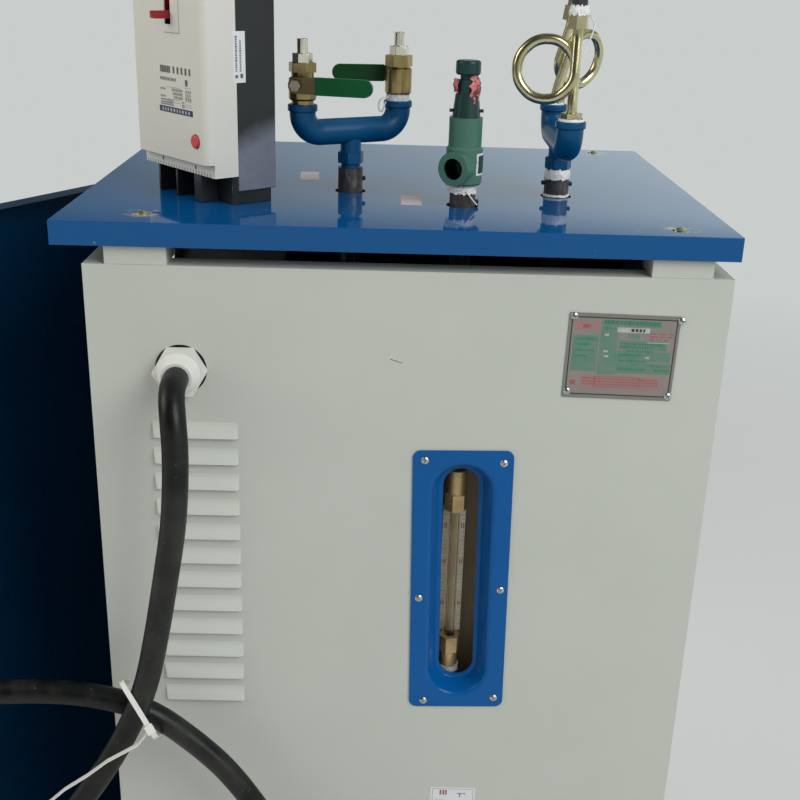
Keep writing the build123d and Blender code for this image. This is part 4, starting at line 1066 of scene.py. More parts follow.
SCREWS = screw_tree()
print("nodes in the screw tree:", len(SCREWS.nodes))

# %% [markdown]
# ## From points to a piece
#
# The points are a mesh without edges. Vectors are stored on it by name, the tree runs as a
# modifier, and what it makes is kept as a plain mesh. An input of the modifier goes by the
# socket's identifier, not by its name.

# %% Run a tree on points
def bake_points(name, tree, places, attributes, values, material):
    """Runs a tree on points that carry named vectors and keeps the result as a plain mesh."""
    mesh = bpy.data.meshes.new(name)
    mesh.from_pydata([Vector(p) * MM for p in places], [], [])
    for label, vectors in attributes.items():
        store = mesh.attributes.new(label, "FLOAT_VECTOR", "POINT")
        for index, vector in enumerate(vectors):
            store.data[index].vector = vector
    source = bpy.data.objects.new(name + "_points", mesh)
    scene.collection.objects.link(source)
    modifier = source.modifiers.new("tree", "NODES")
    modifier.node_group = tree
    values = {**values, "Finish": material}
    for item in tree.interface.items_tree:
        if item.in_out == "INPUT" and item.name in values:
            modifier[item.identifier] = values[item.name]
    return add_piece(name, plain_mesh(source), material)


print("inputs of the screw tree:", [item.name for item in SCREWS.interface.items_tree])

# %% [markdown]
# ## Set the screws
#
# Nobody leaves all crosses in line, so each screw is turned by chance, with a fixed seed, so that
# every run gives the same angles. A screw in the front is first turned to face forward, then about
# its own axis. The sockets' screws point sideways out of the pipes.

# %% Set the screws
ESC_FACE = FRONT - 1.5
PLATE_FACE = FRONT - 0.8
ESC_SCREWS = [
    (20.6, 1021.1), (98, 1019.8), (19.5, 866.9), (102.4, 878.3), (28.4, 742.5), (102.8, 747.4),
]
PLATE_SCREWS = [(154.5, 1171.6), (255.3, 1168.8), (249.7, 1093.8), (153, 1097)]
SOCKET_SCREWS = [       # each with the way it points along X
    (-48.4, -73, 1263.4, 1), (140.9, -72.7, 1263.7, -1), (166.7, -72.7, 1263.1, 1),
    (65.2, -134, 1253.8, 1),
]
QUARTER = math.radians(90)
HIDDEN_WASHER = 0.5
chance = random.Random(7)


def screws(name, places, turns, radius, height, washer, material):
    return bake_points(name, SCREWS, places, {"turn": turns}, {
        "Radius": radius * MM, "Height": height * MM, "Washer": washer * MM,
    }, material)


def front_screws(name, spots, face, radius, height):
    """Turned to face -Y, then each at its own angle about that axis."""
    turns = []
    for spot in spots:
        twist = Matrix.Rotation(chance.uniform(0, 1.5), 3, "Z")
        turns.append((Matrix.Rotation(QUARTER, 3, "X") @ twist).to_euler("XYZ"))
    places = [(x, face, z) for x, z in spots]
    screws(name, places, turns, radius, height, HIDDEN_WASHER, plain_zinc)


lid_turns = [(0, 0, chance.uniform(0, math.pi)) for spot in LID_SCREWS]
lid_places = [(x, y, LID_TOP + WASHER / 2) for x, y in LID_SCREWS]
screws("lid_screws", lid_places, lid_turns, 4.4, 2.0, 6.8, yellow_zinc)
front_screws("escutcheon_screws", ESC_SCREWS, ESC_FACE, 3.9, 2.2)
front_screws("plate_screws", PLATE_SCREWS, PLATE_FACE, 3.6, 2.4)
socket_turns = [(0, QUARTER * way, 0) for x, y, z, way in SOCKET_SCREWS]
socket_places = [(x, y, z) for x, y, z, way in SOCKET_SCREWS]
screws("socket_screws", socket_places, socket_turns, 2.3, 3.4, HIDDEN_WASHER, gauge_black)
print("screws:", sum(map(len, (LID_SCREWS, ESC_SCREWS, PLATE_SCREWS, SOCKET_SCREWS))))

# %% [markdown]
# ## Stickers, print and ticks
#
# All that is printed or stuck on is a very thin block: a sticker is one block, a line of print is a
# row of short ones, a scale is a column. One Geometry Nodes tree sets a block of its own size on
# each point, so only the places have to be written down, in millimetres on their own surface.
# Real blocks, other than a picture, stay sharp however close the camera comes.

# %% The tree for flat marks
SUNK = 0.02              # how far a mark reaches into its surface


def mark_tree():
    tree, add, given = point_tree("marks")
    block = add("GeometryNodeMeshCube", {"Size": (1, 1, 1)})
    set_on_points(add, given, block.outputs["Mesh"], {
        "Rotation": point_vector(add, "turn"), "Scale": point_vector(add, "size"),
    })
    return tree


def surface(origin, right, up):
    """A flat place: X to the right, Y up, Z out of it."""
    right = Vector(right).normalized()
    up = Vector(up).normalized()
    flat = Matrix((right, up, right.cross(up))).transposed().to_4x4()
    flat.translation = origin
    return flat


def marks(name, place, boxes, material, lift=0.0, thick=0.12):
    """boxes: (left, low, right, high) and, if wanted, a turn about the place's origin."""
    spots = []
    turns = []
    sizes = []
    for left, low, right, high, *turned in boxes:
        own = place @ Matrix.Rotation(math.radians(turned[0] if turned else 0), 4, "Z")
        middle = ((left + right) / 2, (low + high) / 2, lift + thick / 2 - SUNK)
        spots.append(own @ Vector(middle))
        turns.append(own.to_euler("XYZ"))
        sizes.append(Vector((right - left, high - low, thick)) * MM)
    return bake_points(name, MARKS, spots, {"turn": turns, "size": sizes}, {}, material)


def print_row(left, right, low, high, widths=(1.0, 2.4), gap=0.7):
    """A line of short blocks, as small print looks from a distance."""
    row = []
    while left < right - widths[0]:
        wide = chance.uniform(*widths)
        row.append((left, low, min(left + wide, right), high))
        left += wide + gap
    return row


def outline(left, low, right, high, wide):
    inner_low, inner_high = low + wide, high - wide
    return [
        (left, low, right, inner_low), (left, inner_high, right, high),
        (left, inner_low, left + wide, inner_high), (right - wide, inner_low, right, inner_high),
    ]


MARKS = mark_tree()
print("nodes in the tree for marks:", len(MARKS.nodes))

# %% [markdown]
# ## The rating plate
#
# The plate was printed in green and red on bare metal and has faded. It is laid out here as fields,
# with rows of blocks on them. Each layer is a few hundredths of a millimetre thicker than the last,
# so that none of them fight for the same surface.

# %% Print on the rating plate
PLATE_TILT = math.radians(1.1)
tilt_x, tilt_z = math.cos(PLATE_TILT), math.sin(PLATE_TILT)
plate_place = surface((201.3, PLATE_FACE, 1131.9), (tilt_x, 0, -tilt_z), (tilt_z, 0, tilt_x))
plate_line = clouded("plate_line", (0.020, 0.012, 0.010), (0.05, 0.03, 0.025), 300)
plate_pink = clouded("plate_pink", (0.31, 0.165, 0.155), (0.235, 0.185, 0.17), 75)
plate_rose = clouded("plate_rose", (0.255, 0.205, 0.190), (0.205, 0.200, 0.180), 60)
plate_red = clouded("plate_red", (0.34, 0.060, 0.060), (0.28, 0.12, 0.11), 160)
plate_green = clouded("plate_green", (0.055, 0.205, 0.130), (0.155, 0.205, 0.160), 55)
plate_deep = clouded("plate_deep", (0.016, 0.165, 0.095), (0.055, 0.195, 0.130), 110)
plate_pale = clouded("plate_pale", (0.44, 0.46, 0.43), (0.29, 0.32, 0.30), 150)

marks("plate_border", plate_place, outline(-49.6, -38.6, 49.8, 38.6, 1.0), plate_line)
marks("plate_rose_fields", plate_place, [(-48.0, -37.0, 48.2, 37.2)], plate_rose, thick=0.04)
marks("plate_pink_fields", plate_place, [
    (-47.0, 25.6, -21.0, 34.8), (-36.0, -33.5, 42.0, -18.6),
], plate_pink, thick=0.06)
marks("plate_green_fields", plate_place, [
    (-46.8, -15.0, -22.6, 20.5), (-21.4, -17.4, -4.2, 36.6), (-3.0, 7.6, 42.0, 16.8),
    (-3.6, -3.6, 46.8, 6.4), (-3.8, -15.8, 47.8, -4.8), (-3.6, 30.6, 35.0, 36.6),
    (4.0, 18.6, 16.0, 23.4),
], plate_green, thick=0.08)
marks("plate_pale_fields", plate_place, [
    (-6.0, 24.6, 24.6, 29.4), (-17.6, 20.6, -13.6, 22.8), (-17.0, 4.6, -12.8, 6.4),
    (-16.0, -0.3, -12.0, 1.5), (22.8, -0.6, 27.0, 1.4), (23.0, 15.0, 44.0, 15.8),
], plate_pale, thick=0.10)
green_rows = print_row(-18.8, 34.4, 32.2, 35.8, (2.0, 3.6), 0.8)
for low, left, right in (
    (27.0, -19.0, -8.0), (12.6, -2.5, 38.0), (9.6, -2.5, 30.0), (5.6, 4.0, 30.0), (1.6, -2.5, 20.0),
    (-4.4, -2.5, 24.0), (-8.4, 28.0, 45.0), (-12.6, -2.5, 26.0), (-12.8, 33.0, 46.5),
    (16.0, -44.0, -24.0), (10.4, -44.0, -30.0), (4.8, -44.0, -25.0), (-0.8, -44.0, -32.0),
):
    green_rows += print_row(left, right, low, low + 2.0)
marks("plate_green_print", plate_place, green_rows, plate_deep, thick=0.12)
red_rows = outline(-23.0, -30.4, 21.0, -19.8, 0.5)
red_rows += [(-38.5, 27.8, -31.5, 31.2), (-45.5, -29.0, -40.6, -24.2)]
for low in (-22.8, -25.6, -28.4):
    red_rows += print_row(-34.0, 39.0, low, low + 1.4)
for low in (18.2, 21.0, 23.8):
    red_rows += print_row(25.0, 47.0, low, low + 1.1, (3.0, 8.0), 2.4)
marks("plate_red_print", plate_place, red_rows, plate_red, thick=0.14)
dark_row = print_row(7.0, 20.0, 25.6, 28.4, (1.6, 3.0), 1.2)
marks("plate_dark_print", plate_place, dark_row, plate_line, thick=0.14)
print("plate print blocks:", len(green_rows) + len(red_rows) + len(dark_row))

# %% [markdown]
# ## Print on the breaker
#
# The breaker stands turned on the lid, but its own front and side are flat places as well. Their
# directions follow from its turn, so its marks can be written as if it stood square.

# %% Breaker marks
across_breaker = Vector((math.cos(BREAKER_TURN), math.sin(BREAKER_TURN), 0))
into_breaker = Vector((-math.sin(BREAKER_TURN), math.cos(BREAKER_TURN), 0))
UP = Vector((0, 0, 1))
breaker_corner = BREAKER_PLACE / MM
face_place = surface(breaker_corner - into_breaker * 29.9, across_breaker, UP)
strip_place = surface(breaker_corner - into_breaker * 20.6, across_breaker, UP)
side_place = surface(breaker_corner + across_breaker * 2.0, into_breaker, UP)
black_ink = clouded("black_ink", (0.055, 0.052, 0.050), (0.16, 0.155, 0.145), 220)
grey_ink = clouded("grey_ink", (0.17, 0.165, 0.155), (0.30, 0.29, 0.27), 240)
blue_ink = clouded("blue_ink", (0.018, 0.014, 0.085), (0.030, 0.025, 0.110), 120)
white_paper = clouded("white_paper", (0.70, 0.71, 0.72), (0.63, 0.63, 0.64), 60)

bold = print_row(-76.5, -57.5, 119.6, 126.0, (2.4, 3.8), 0.5)
bold += [(left, 119.8, left + 3.4, 126.0) for left in (-53.0, -45.6, -38.4, -31.2, -24.2)]
bold += [(-31.0, 109.8, -26.6, 115.6)]
marks("breaker_bold_print", face_place, bold, black_ink)
small = print_row(-77.0, -47.0, 112.4, 115.4, (1.2, 3.4), 0.5)
for low, left, middle in ((103.4, -68.0, -56.0), (100.0, -79.0, -54.0), (96.6, -67.0, -53.0)):
    small += print_row(-77.4, left, low, low + 2.0) + print_row(middle, -36.0, low, low + 2.6)
    small += print_row(-31.0, -21.0, low, low + 2.8, (1.8, 2.8), 1.4)
for low in (93.6, 91.2, 89.4):
    small += print_row(-77.6, -53.0, low, low + 1.5, (1.4, 4.0), 0.5)
    small += [(-38.0, low, -33.5, low + 1.4)]
small += [(-33.0, low, -20.6, low + 0.4) for low in (108.0, 98.8, 95.6, 92.6, 90.6)]
small += [(-66.0, low, -41.0, low + 0.4) for low in (106.6, 95.4, 92.8)]
marks("breaker_small_print", face_place, small, grey_ink)
marks("breaker_blue_bar", face_place, [(-80.3, 82.8, -18.9, 88.3)], blue_ink)
pale_print = print_row(-75.0, -24.0, 84.0, 87.0, (2.0, 3.4), 2.6)
marks("breaker_bar_print", face_place, pale_print, plate_pale, lift=0.03)
marks("breaker_frame_line", face_place, [
    (-38.8, 156.0, -38.0, 214.0), (-66.0, 156.0, -38.8, 156.7),
], grey_ink)
slits = [(left, 27.5, left + 1.1, 30.6) for left in [-126.5 + 5.2 * n for n in range(24)]]
slits += [(-95.8, 32.4, -93.2, 36.2), (-34.2, 31.8, -31.6, 35.6)]
marks("strip_slits", strip_place, slits, black_ink)
marks("breaker_sticker", side_place, [(2.0, 114.5, 15.6, 160.6)], white_paper, thick=0.2)
sticker_print = []
for near_edge, low, high in ((4.6, 124.5, 157.0), (9.2, 124.5, 153.0)):
    level = low
    while level < high:
        tall = chance.uniform(0.9, 2.0)
        sticker_print.append((near_edge, level, near_edge + 2.0, level + tall))
        level += tall + 0.6
sticker_print += [(4.2, 118.6, 7.4, 121.6), (9.8, 118.6, 13.0, 122.6)]
marks("sticker_print", side_place, sticker_print, black_ink, lift=0.1)
print("breaker print blocks:", len(bold) + len(small) + len(pale_print) + len(sticker_print))

# %% [markdown]
# ## Stickers on the lid, label and scratch on the front
#
# The two stickers on the lid have faded to a dull rose, and one was stuck on a little askew. The
# front carries a printed label and one short scratch in its paint.

# %% Lid stickers, front label and scratch
STICKER_LEAN = math.radians(3.0)
rosy_paper = clouded("rosy_paper", (0.60, 0.53, 0.53), (0.50, 0.45, 0.46), 70)
lean_x, lean_y = math.cos(STICKER_LEAN), math.sin(STICKER_LEAN)
rear_place = surface((-108.5, 5.9, LID_TOP), (lean_x, lean_y, 0), (-lean_y, lean_x, 0))
marks("rear_lid_sticker", rear_place, [(-10.2, -25.4, 10.2, 25.4)], rosy_paper)
front_place = surface((2.0, -113.5, LID_TOP), (1, 0, 0), (0, 1, 0))
marks("front_lid_sticker", front_place, [(-10.4, -27.4, 10.4, 27.4)], rosy_paper)

label_place = surface((65.5, FRONT, 628.0), (1, 0, -0.012), (0.012, 0, 1))
marks("front_label", label_place, [(-24.5, -66.0, 24.5, 0.0)], white_paper)
label_red = [(-14.6, -10.0, -12.6, -3.6), (-11.4, -10.0, -9.4, -3.6), (-8.4, -10.0, -6.6, -3.6)]
label_grey = outline(-22.6, -64.2, 22.6, -1.8, 0.5) + [
    (4.6, -8.6, 11.0, -7.4), (7.0, -12.4, 8.6, -7.4), (12.0, -9.4, 13.4, -6.8),
]
for low in (-20.0, -27.0, -34.0, -41.0, -48.0, -55.0):
    label_grey += print_row(-19.0, chance.uniform(2.0, 19.0), low, low + 2.6)
marks("label_red_print", label_place, label_red, plate_red, lift=0.04)
marks("label_grey_print", label_place, label_grey, grey_ink, lift=0.04)
scratch_place = surface((-10.3, FRONT, 1122.5), (1, 0, -0.33), (0.33, 0, 1))
marks("front_scratch", scratch_place, [(-6.0, -0.35, 6.0, 0.35)], black_ink)
print("label blocks:", len(label_red) + len(label_grey))

# %% [markdown]
# ## The scale of the water gauge
#
# The ticks stand in two columns, left and right of the glass. A loop counts them out, each second
# one longer, and a few red figures stand beside them as plain blocks.

# %% Ticks and figures
TICK_START = 812.0
TICK_STEP = 5.0
SCALE_HALF = 10.8        # from the scale's middle to its edge
scale_place = surface((55.0, -205.0, 0.0), (1, 0, 0), (0, 0, 1))
scale_ink = clouded("scale_ink", (0.10, 0.060, 0.045), (0.22, 0.16, 0.12), 300)
scale_red = clouded("scale_red", (0.36, 0.06, 0.045), (0.36, 0.17, 0.12), 200)
ticks = []
for step in range(27):
    level = TICK_START + TICK_STEP * step
    long = 3.4 if step % 2 == 0 else 1.9
    for left in (-SCALE_HALF, SCALE_HALF - long):
        ticks.append((left, level, left + long, level + 0.6))
marks("scale_ticks", scale_place, ticks, scale_ink)
figures = []
for level in (835.0, 885.0, 927.0):
    for left in (-10.6, -8.4, 7.2, 9.4):
        figures.append((left, level, left + 1.4, level + 5.2))
marks("scale_figures", scale_place, figures, scale_red, lift=0.03)
print("ticks on the scale:", len(ticks))

# %% [markdown]
# ## Thread tape and seals by hand
#
# White tape was wound round every thread by hand, so its edges are ragged and it has small folds.
# Each winding is a grid of points round the pipe: noise moves the edges up and down and pushes the
# folds out. The noise is read on a circle, so that the end of the winding meets its start. The red
# seals on the safety valve are made alike, but only reach part of the way round.

# %% The grid of a band
GRID_ROWS = 8


def radius_at(profile, level):
    """Reads a list of (level, radius) as a broken line."""
    for (low, first), (high, second) in zip(profile, profile[1:]):
        if level <= high:
            share = min(max((level - low) / (high - low), 0), 1)
            return first + (second - first) * share
    return profile[-1][1]


def on_circle(degrees):
    return Vector((math.cos(math.radians(degrees)), math.sin(math.radians(degrees)), 0))


def wound_faces(columns, steps, whole):
    """Quads of the outer and the inner skin, their two edges and, on an open band, its ends."""
    rows = GRID_ROWS + 1
    count = columns * rows
    faces = []
    for column in range(steps):
        here = column * rows
        there = (column + 1) % columns * rows
        for row in range(GRID_ROWS):
            a, b, c, d = here + row, there + row, there + row + 1, here + row + 1
            faces += [(a, b, c, d), (count + d, count + c, count + b, count + a)]
        for row in (0, GRID_ROWS):
            faces.append((here + row, count + here + row, count + there + row, there + row))
    if not whole:
        for here in (0, steps * rows):
            for row in range(GRID_ROWS):
                a, b = here + row, here + row + 1
                faces.append((a, b, count + b, count + a))
    return faces


print("faces of a closed band of ten steps:", len(wound_faces(10, 10, True)))

# %% [markdown]
# ## Winding it on
#
# Two points are set for each place of the grid, one just inside the pipe and one outside, so that
# the band is a closed solid. Its normals are made to point outwards at the end.

# %% Wind a band
SUNK_IN = 0.1            # how far a band reaches into its pipe


def wrap(name, spot, profile, material, rag, arc, folds, thick, seed):
    """A ragged band round an upright pipe at a spot; profile is the pipe's (level, radius)."""
    reach = arc[1] - arc[0]
    whole = reach >= 360
    steps = max(10, round(reach / 3))
    columns = steps if whole else steps + 1
    low, high = profile[0][0], profile[-1][0]
    outer = []
    inner = []
    for column in range(columns):
        way = arc[0] + reach * column / steps
        around = on_circle(way)
        lower_edge = rag * noise.noise(around * 4.3 + Vector((seed, 0, 0)))
        upper_edge = rag * noise.noise(around * 4.3 + Vector((0, seed + 5.7, 0)))
        end_rag = 0 if whole else 9 * rag * abs(2 * column / steps - 1)
        for row in range(GRID_ROWS + 1):
            share = row / GRID_ROWS
            level = low + lower_edge + (high + upper_edge - low - lower_edge) * share
            around = on_circle(way + end_rag * noise.noise(Vector((seed, 3.1, level * 0.28))))
            crease = folds * noise.noise(around * 5.0 + Vector((seed, seed, level * 0.55)))
            radius = radius_at(profile, level)
            middle = Vector((*spot, level))
            outer.append(middle + around * (radius + thick + crease))
            inner.append(middle + around * (radius - SUNK_IN))
    mesh = bpy.data.meshes.new(name)
    mesh.from_pydata([p * MM for p in outer + inner], [], wound_faces(columns, steps, whole))
    solid = bmesh.new()
    solid.from_mesh(mesh)
    bmesh.ops.recalc_face_normals(solid, faces=solid.faces)
    solid.to_mesh(mesh)
    solid.free()
    return add_piece(name, mesh, material, angle=50.0)


print("a band reaches into its pipe by, mm:", SUNK_IN)

# %% [markdown]
# ## All the windings
#
# Each band is one line of a list: where its pipe stands, the pipe's shape, the finish, how ragged
# the edges are, which part of the circle it covers, how deep the folds are, how thick it is, and a
# seed that makes its noise its own. The valve's seals are broken wax, its tag is a folded strip.

# %% Wind the bands
tape_white = clouded("tape_white", (0.80, 0.81, 0.79), (0.62, 0.63, 0.61), 130, (0.40, 0.55))
seal_red = clouded(
    "seal_red", (0.60, 0.17, 0.16), (0.13, 0.04, 0.036), 190, (0.40, 0.55), softness=0.05
)
tag_green = clouded("tag_green", (0.010, 0.040, 0.034), (0.02, 0.06, 0.05), 200)
putty = clouded("putty", (0.46, 0.48, 0.45), (0.30, 0.31, 0.29), 90)
SAFETY = (52.3, -134.0)
GAUGE_PIPE = (153.8, -72.7)
FRONT_END = (152.6, -143.2)
REAR_END = (155.0, -2.2)
RIGHT_END = (-13.64, -44.54)
LOWER_COCK = (55.0, -212.0)
ROUND = (0, 360)
TAPE = 0.45              # thickness of a winding

# name, pipe, its shape and the finish; then raggedness, arc, folds, thickness and seed
BANDS = [
    ("safety_tape", SAFETY, [(1262.6, 12.7), (1271.4, 12.0)], tape_white,
     2.2, ROUND, 1.1, TAPE, 3),
    ("safety_tape_flap", SAFETY, [(1263.5, 15.0), (1270.6, 16.6)], tape_white,
     1.6, (165, 262), 1.2, TAPE, 9),
    ("gauge_tape", GAUGE_PIPE, [(1268.6, 12.8), (1274.4, 12.8), (1278.6, 11.6)], tape_white,
     2.6, ROUND, 0.5, TAPE, 14),
    ("gauge_foot_tape", GAUGE_PIPE, [(1250.4, 13.1), (1252.8, 12.9)], tape_white,
     1.3, ROUND, 0.3, TAPE, 21),
    ("right_valve_tape", RIGHT_END, [(1339.6, 11.8), (1346.0, 11.6)], tape_white,
     0.8, ROUND, 0.5, TAPE, 4),
    ("front_siphon_tape", FRONT_END, [(1335.0, 12.2), (1338.2, 11.4)], tape_white,
     0.8, ROUND, 0.6, TAPE, 6),
    ("rear_siphon_tape", REAR_END, [(1335.6, 10.4), (1337.8, 9.6)], tape_white,
     0.7, ROUND, 0.4, TAPE, 8),
    ("siphon_top_tape", FRONT_END, [(1432.6, 9.4), (1437.0, 9.2), (1441.4, 7.6)], tape_white,
     2.4, ROUND, 0.9, TAPE, 11),
    ("right_seal", SAFETY,
     [(1356.6, 11.6), (1361.5, 12.6), (1368.5, 12.0), (1373.0, 10.2), (1376.6, 8.0)], seal_red,
     2.6, (-78, -6), 1.1, TAPE, 5),
    ("left_seal", SAFETY, [(1359.5, 12.2), (1366.0, 13.6), (1371.5, 12.6)], seal_red,
     1.6, (158, 222), 1.0, TAPE, 12),
    ("first_seal_streak", SAFETY, [(1349.5, 12.5), (1358.0, 11.6)], seal_red,
     1.0, (-64, -54), 0.2, 0.2, 17),
    ("second_seal_streak", SAFETY, [(1351.5, 12.3), (1358.0, 11.6)], seal_red,
     0.8, (-34, -24), 0.2, 0.2, 19),
    ("tag_edge", SAFETY, [(1281.6, 18.1), (1302.6, 18.1)], tape_white,
     0.25, (-52, -3), 0.05, 0.3, 2),
    ("tag_face", SAFETY, [(1283.6, 18.3), (1300.6, 18.3)], tag_green,
     0.2, (-45, -9), 0.05, 0.35, 7),
    ("lower_cock_ring", LOWER_COCK, [(762.0, 9.3), (768.0, 9.3)], putty,
     0.8, ROUND, 0.4, 1.6, 10),
]
for band in BANDS:
    wrap(*band)
print("bands:", len(BANDS))

# %% [markdown]
# ## Loose ends of the tape
#
# Where the tape was torn off, its end has curled into a string. These are strands along a smooth
# line, written as steps from the middle of the pipe that each hangs on.

# %% Three loose ends
LOOSE_ENDS = {
    "right_valve_tape_end": (RIGHT_END, 0.9, [
        (-10, -7, 1343), (-16, -9, 1344), (-20, -9, 1338), (-19.5, -9, 1330),
        (-16, -9.5, 1328.5), (-14.5, -10, 1334), (-12.5, -8.5, 1339),
    ]),
    "siphon_tape_end": (FRONT_END, 0.8, [
        (8, -5, 1434), (12.5, -6, 1430), (14, -6, 1422), (12, -6.5, 1414), (8.5, -6.5, 1407),
        (7, -6, 1400),
    ]),
    "safety_tape_end": (SAFETY, 0.7, [
        (2, -12.4, 1266), (5, -13.6, 1263), (9, -13.8, 1258), (13.5, -12.5, 1253),
    ]),
}
for name, ((x, y), radius, steps) in LOOSE_ENDS.items():
    smooth_line(name, [(x + right, y + back, up) for right, back, up in steps], radius, tape_white)
print("loose ends:", len(LOOSE_ENDS))

# %% [markdown]
# ## The dial of the pressure gauge
#
# The gauge stands above the picture's upper edge, so its dial is the usual one: a white disc under
# a rim, fifty divisions over three quarters of a turn, a red zone and a pointer at rest on its
# stop. Discs are closed cylinders, the rim is a strand, and the rest are marks turned about the
# dial's middle.

# %% Make the dial
dial_place = surface((152.6, -157.2, 1503.3), (1, 0, 0), (0, 0, 1))
dial_white = clouded("dial_white", (0.72, 0.72, 0.69), (0.66, 0.65, 0.60), 40)
DIAL_SWEEP = 270.0
DIVISIONS = 50
RIM_R = 45.2
RIM_POINTS = 36


def dial_disc(name, radius, height, low, material):
    disc = bmesh.new()
    bmesh.ops.create_cone(
        disc, cap_ends=True, segments=72, radius1=radius * MM, radius2=radius * MM,
        depth=height * MM,
    )
    stand = dial_place.copy()
    stand.translation = (dial_place @ Vector((0, 0, low + height / 2))) * MM
    disc.transform(stand)
    mesh = bpy.data.meshes.new(name)
    disc.to_mesh(mesh)
    disc.free()
    return add_piece(name, mesh, material)


dial_disc("dial_face", 43.0, 0.5, -0.1, dial_white)
dial_disc("pointer_hub", 3.6, 1.6, 0.3, gauge_black)
rim_turns = [math.tau * n / RIM_POINTS for n in range(RIM_POINTS + 1)]
rim = [dial_place @ Vector((RIM_R * math.cos(a), RIM_R * math.sin(a), 0.2)) for a in rim_turns]
smooth_line("dial_rim", rim, 1.8, gauge_black)
divisions = []
for number in range(DIVISIONS + 1):
    turned = DIAL_SWEEP / 2 - DIAL_SWEEP * number / DIVISIONS
    if number % 10 == 0:
        divisions.append((-0.6, 34.0, 0.6, 41.0, turned))
        divisions += [(left, 27.5, left + 1.8, 31.5, turned) for left in (-2.4, 0.6)]
    else:
        divisions.append((-0.3, 37.5 if number % 5 else 36.0, 0.3, 41.0, turned))
marks("dial_divisions", dial_place, divisions, black_ink, lift=0.4)
red_zone = [(-1.2, 41.4, 1.2, 42.4, -60.0 - 3.0 * n) for n in range(26)]
marks("dial_red_zone", dial_place, red_zone, scale_red, lift=0.4)
pointer = [(-0.8, -11.0, 0.8, 33.0, DIAL_SWEEP / 2)]
marks("dial_pointer", dial_place, pointer, black_ink, lift=1.0, thick=0.5)
print("dial divisions:", len(divisions))

# %% [markdown]
# ## The floor
#
# A plain pale floor, large enough for every view. Near the machine it takes the light and the
# shadow. Far away, where the lamps no longer reach, it takes the room's pale colour for the rays
# that see it, so that no horizon line cuts the picture.

# %% Floor
FLOOR_GREY = (0.74, 0.745, 0.73)
PALE = (0.585, 0.615, 0.61)
FLOOR_HALF = 30.0        # metres from the middle to an edge


def floor_paint():
    material, tree, shader, place = start_material("floor")
    cloud = use_group(tree, PATCHES, place, Scale=1.5, Edge=0.5, Softness=0.3)
    darker = tuple(c * 0.98 for c in FLOOR_GREY)
    set_inputs(shader, {
        "Base Color": mix_color(tree, cloud, FLOOR_GREY, darker), "Roughness": 0.8,
    })
    far = calculate(tree, "SUBTRACT", 1.0, near(tree, place, (0, 0, 0), 1.2, 4.5))
    rays = tree.nodes.new("ShaderNodeLightPath").outputs
    sight = calculate(tree, "MAXIMUM", rays["Is Camera Ray"], rays["Is Glossy Ray"])
    sight = calculate(tree, "MAXIMUM", sight, rays["Is Transmission Ray"])
    glow = tree.nodes.new("ShaderNodeEmission")
    glow.inputs["Color"].default_value = (*PALE, 1)
    blend = tree.nodes.new("ShaderNodeMixShader")
    plug(blend.inputs[0], times(tree, far, sight))
    plug(blend.inputs[1], shader.outputs[0])
    plug(blend.inputs[2], glow.outputs[0])
    plug(tree.nodes["Material Output"].inputs["Surface"], blend.outputs[0])
    return material


corners = [
    (-FLOOR_HALF, -FLOOR_HALF, 0), (FLOOR_HALF, -FLOOR_HALF, 0),
    (FLOOR_HALF, FLOOR_HALF, 0), (-FLOOR_HALF, FLOOR_HALF, 0),
]
floor_mesh = bpy.data.meshes.new("floor")
floor_mesh.from_pydata(corners, [], [(0, 1, 2, 3)])
floor_mesh.materials.append(floor_paint())
floor = bpy.data.objects.new("floor", floor_mesh)
scene.collection.objects.link(floor)
print("floor, m:", 2 * FLOOR_HALF)

# %% [markdown]
# ## Room and lamps
#
# The room is bright near the horizon and darker above, because a glossy lid only looks glossy when
# there is an edge in what it mirrors. The camera sees the room as one pale colour. A large soft
# lamp, a touch cool, stands in front, to the right and above. A weaker, warm one fills from the
# left.

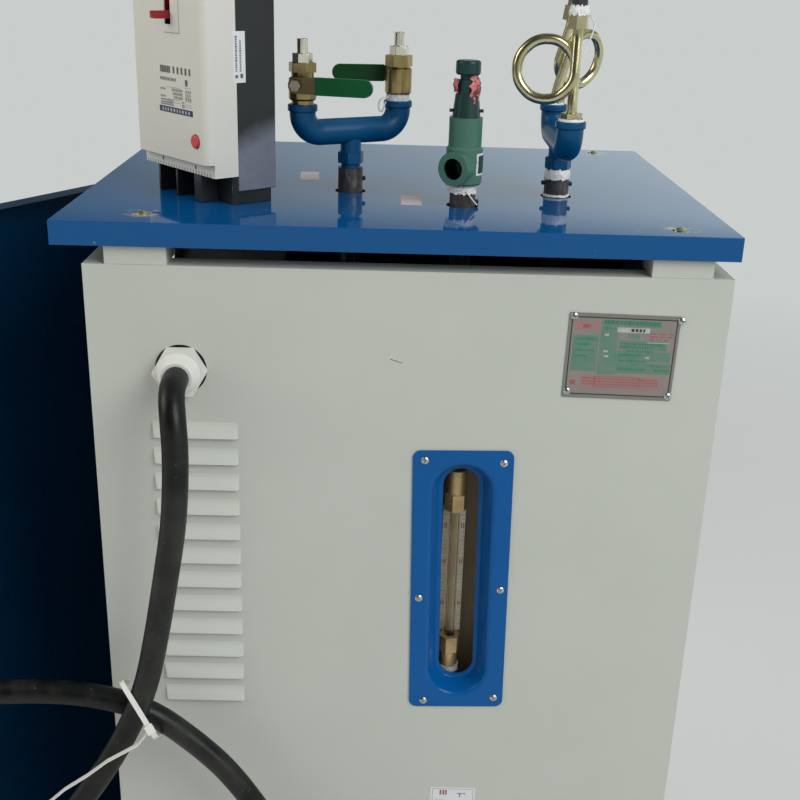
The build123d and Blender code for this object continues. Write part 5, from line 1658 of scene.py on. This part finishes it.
# %% Room and lamps
HORIZON = (0.72, 0.73, 0.72)
ZENITH = (0.30, 0.31, 0.33)
SKY_STOPS = ((0.02, 0.86), (0.195, 0.80), (0.225, 0.20), (0.45, 0.16), (0.62, 0.40))
AIM = Vector((0.0, 0.0, 1.0))


def room():
    """What rays see that miss everything: pale for the camera, banded for mirrors."""
    world = bpy.data.worlds.new("room")
    scene.world = world
    world.use_nodes = True
    tree = world.node_tree
    x, y, z = axes(tree, tree.nodes.new("ShaderNodeTexCoord").outputs["Generated"])
    height = tree.nodes.new("ShaderNodeValToRGB")
    ramp = height.color_ramp
    ramp.elements[0].color = (*HORIZON, 1)
    ramp.elements[1].color = (*ZENITH, 1)
    for position, grey in SKY_STOPS:
        ramp.elements.new(position).color = (grey * 0.96, grey * 1.06, grey * 0.99, 1)
    plug(height.inputs[0], z)
    side = span(tree, x, 0.22, 1.14, -0.28, 0.28)
    behind = span(tree, y, 0.45, 1.0, -0.6, 0.2)
    mirrored = tree.nodes.new("ShaderNodeVectorMath")
    mirrored.operation = "SCALE"
    plug(mirrored.inputs[0], height.outputs["Color"])
    plug(mirrored.inputs["Scale"], times(tree, side, behind))
    rays = tree.nodes.new("ShaderNodeLightPath").outputs
    shiny = calculate(tree, "MAXIMUM", rays["Is Glossy Ray"], rays["Is Transmission Ray"])
    unseen = mix_color(tree, shiny, (0.50, 0.51, 0.52), mirrored.outputs[0])
    seen = mix_color(tree, rays["Is Camera Ray"], unseen, PALE)
    plug(tree.nodes["Background"].inputs["Color"], seen)


def lamp(name, place, size, power, colour):
    data = bpy.data.lights.new(name, "AREA")
    data.size = size
    data.energy = power
    data.color = colour
    made = bpy.data.objects.new(name, data)
    made.location = place
    made.rotation_euler = (AIM - Vector(place)).to_track_quat("-Z", "Y").to_euler()
    scene.collection.objects.link(made)


room()
lamp("key", (2.2, -2.4, 3.3), 2.2, 90, (0.955, 0.975, 1.0))
lamp("fill", (-3.0, -0.5, 2.8), 2.0, 45, (1.0, 0.95, 0.85))
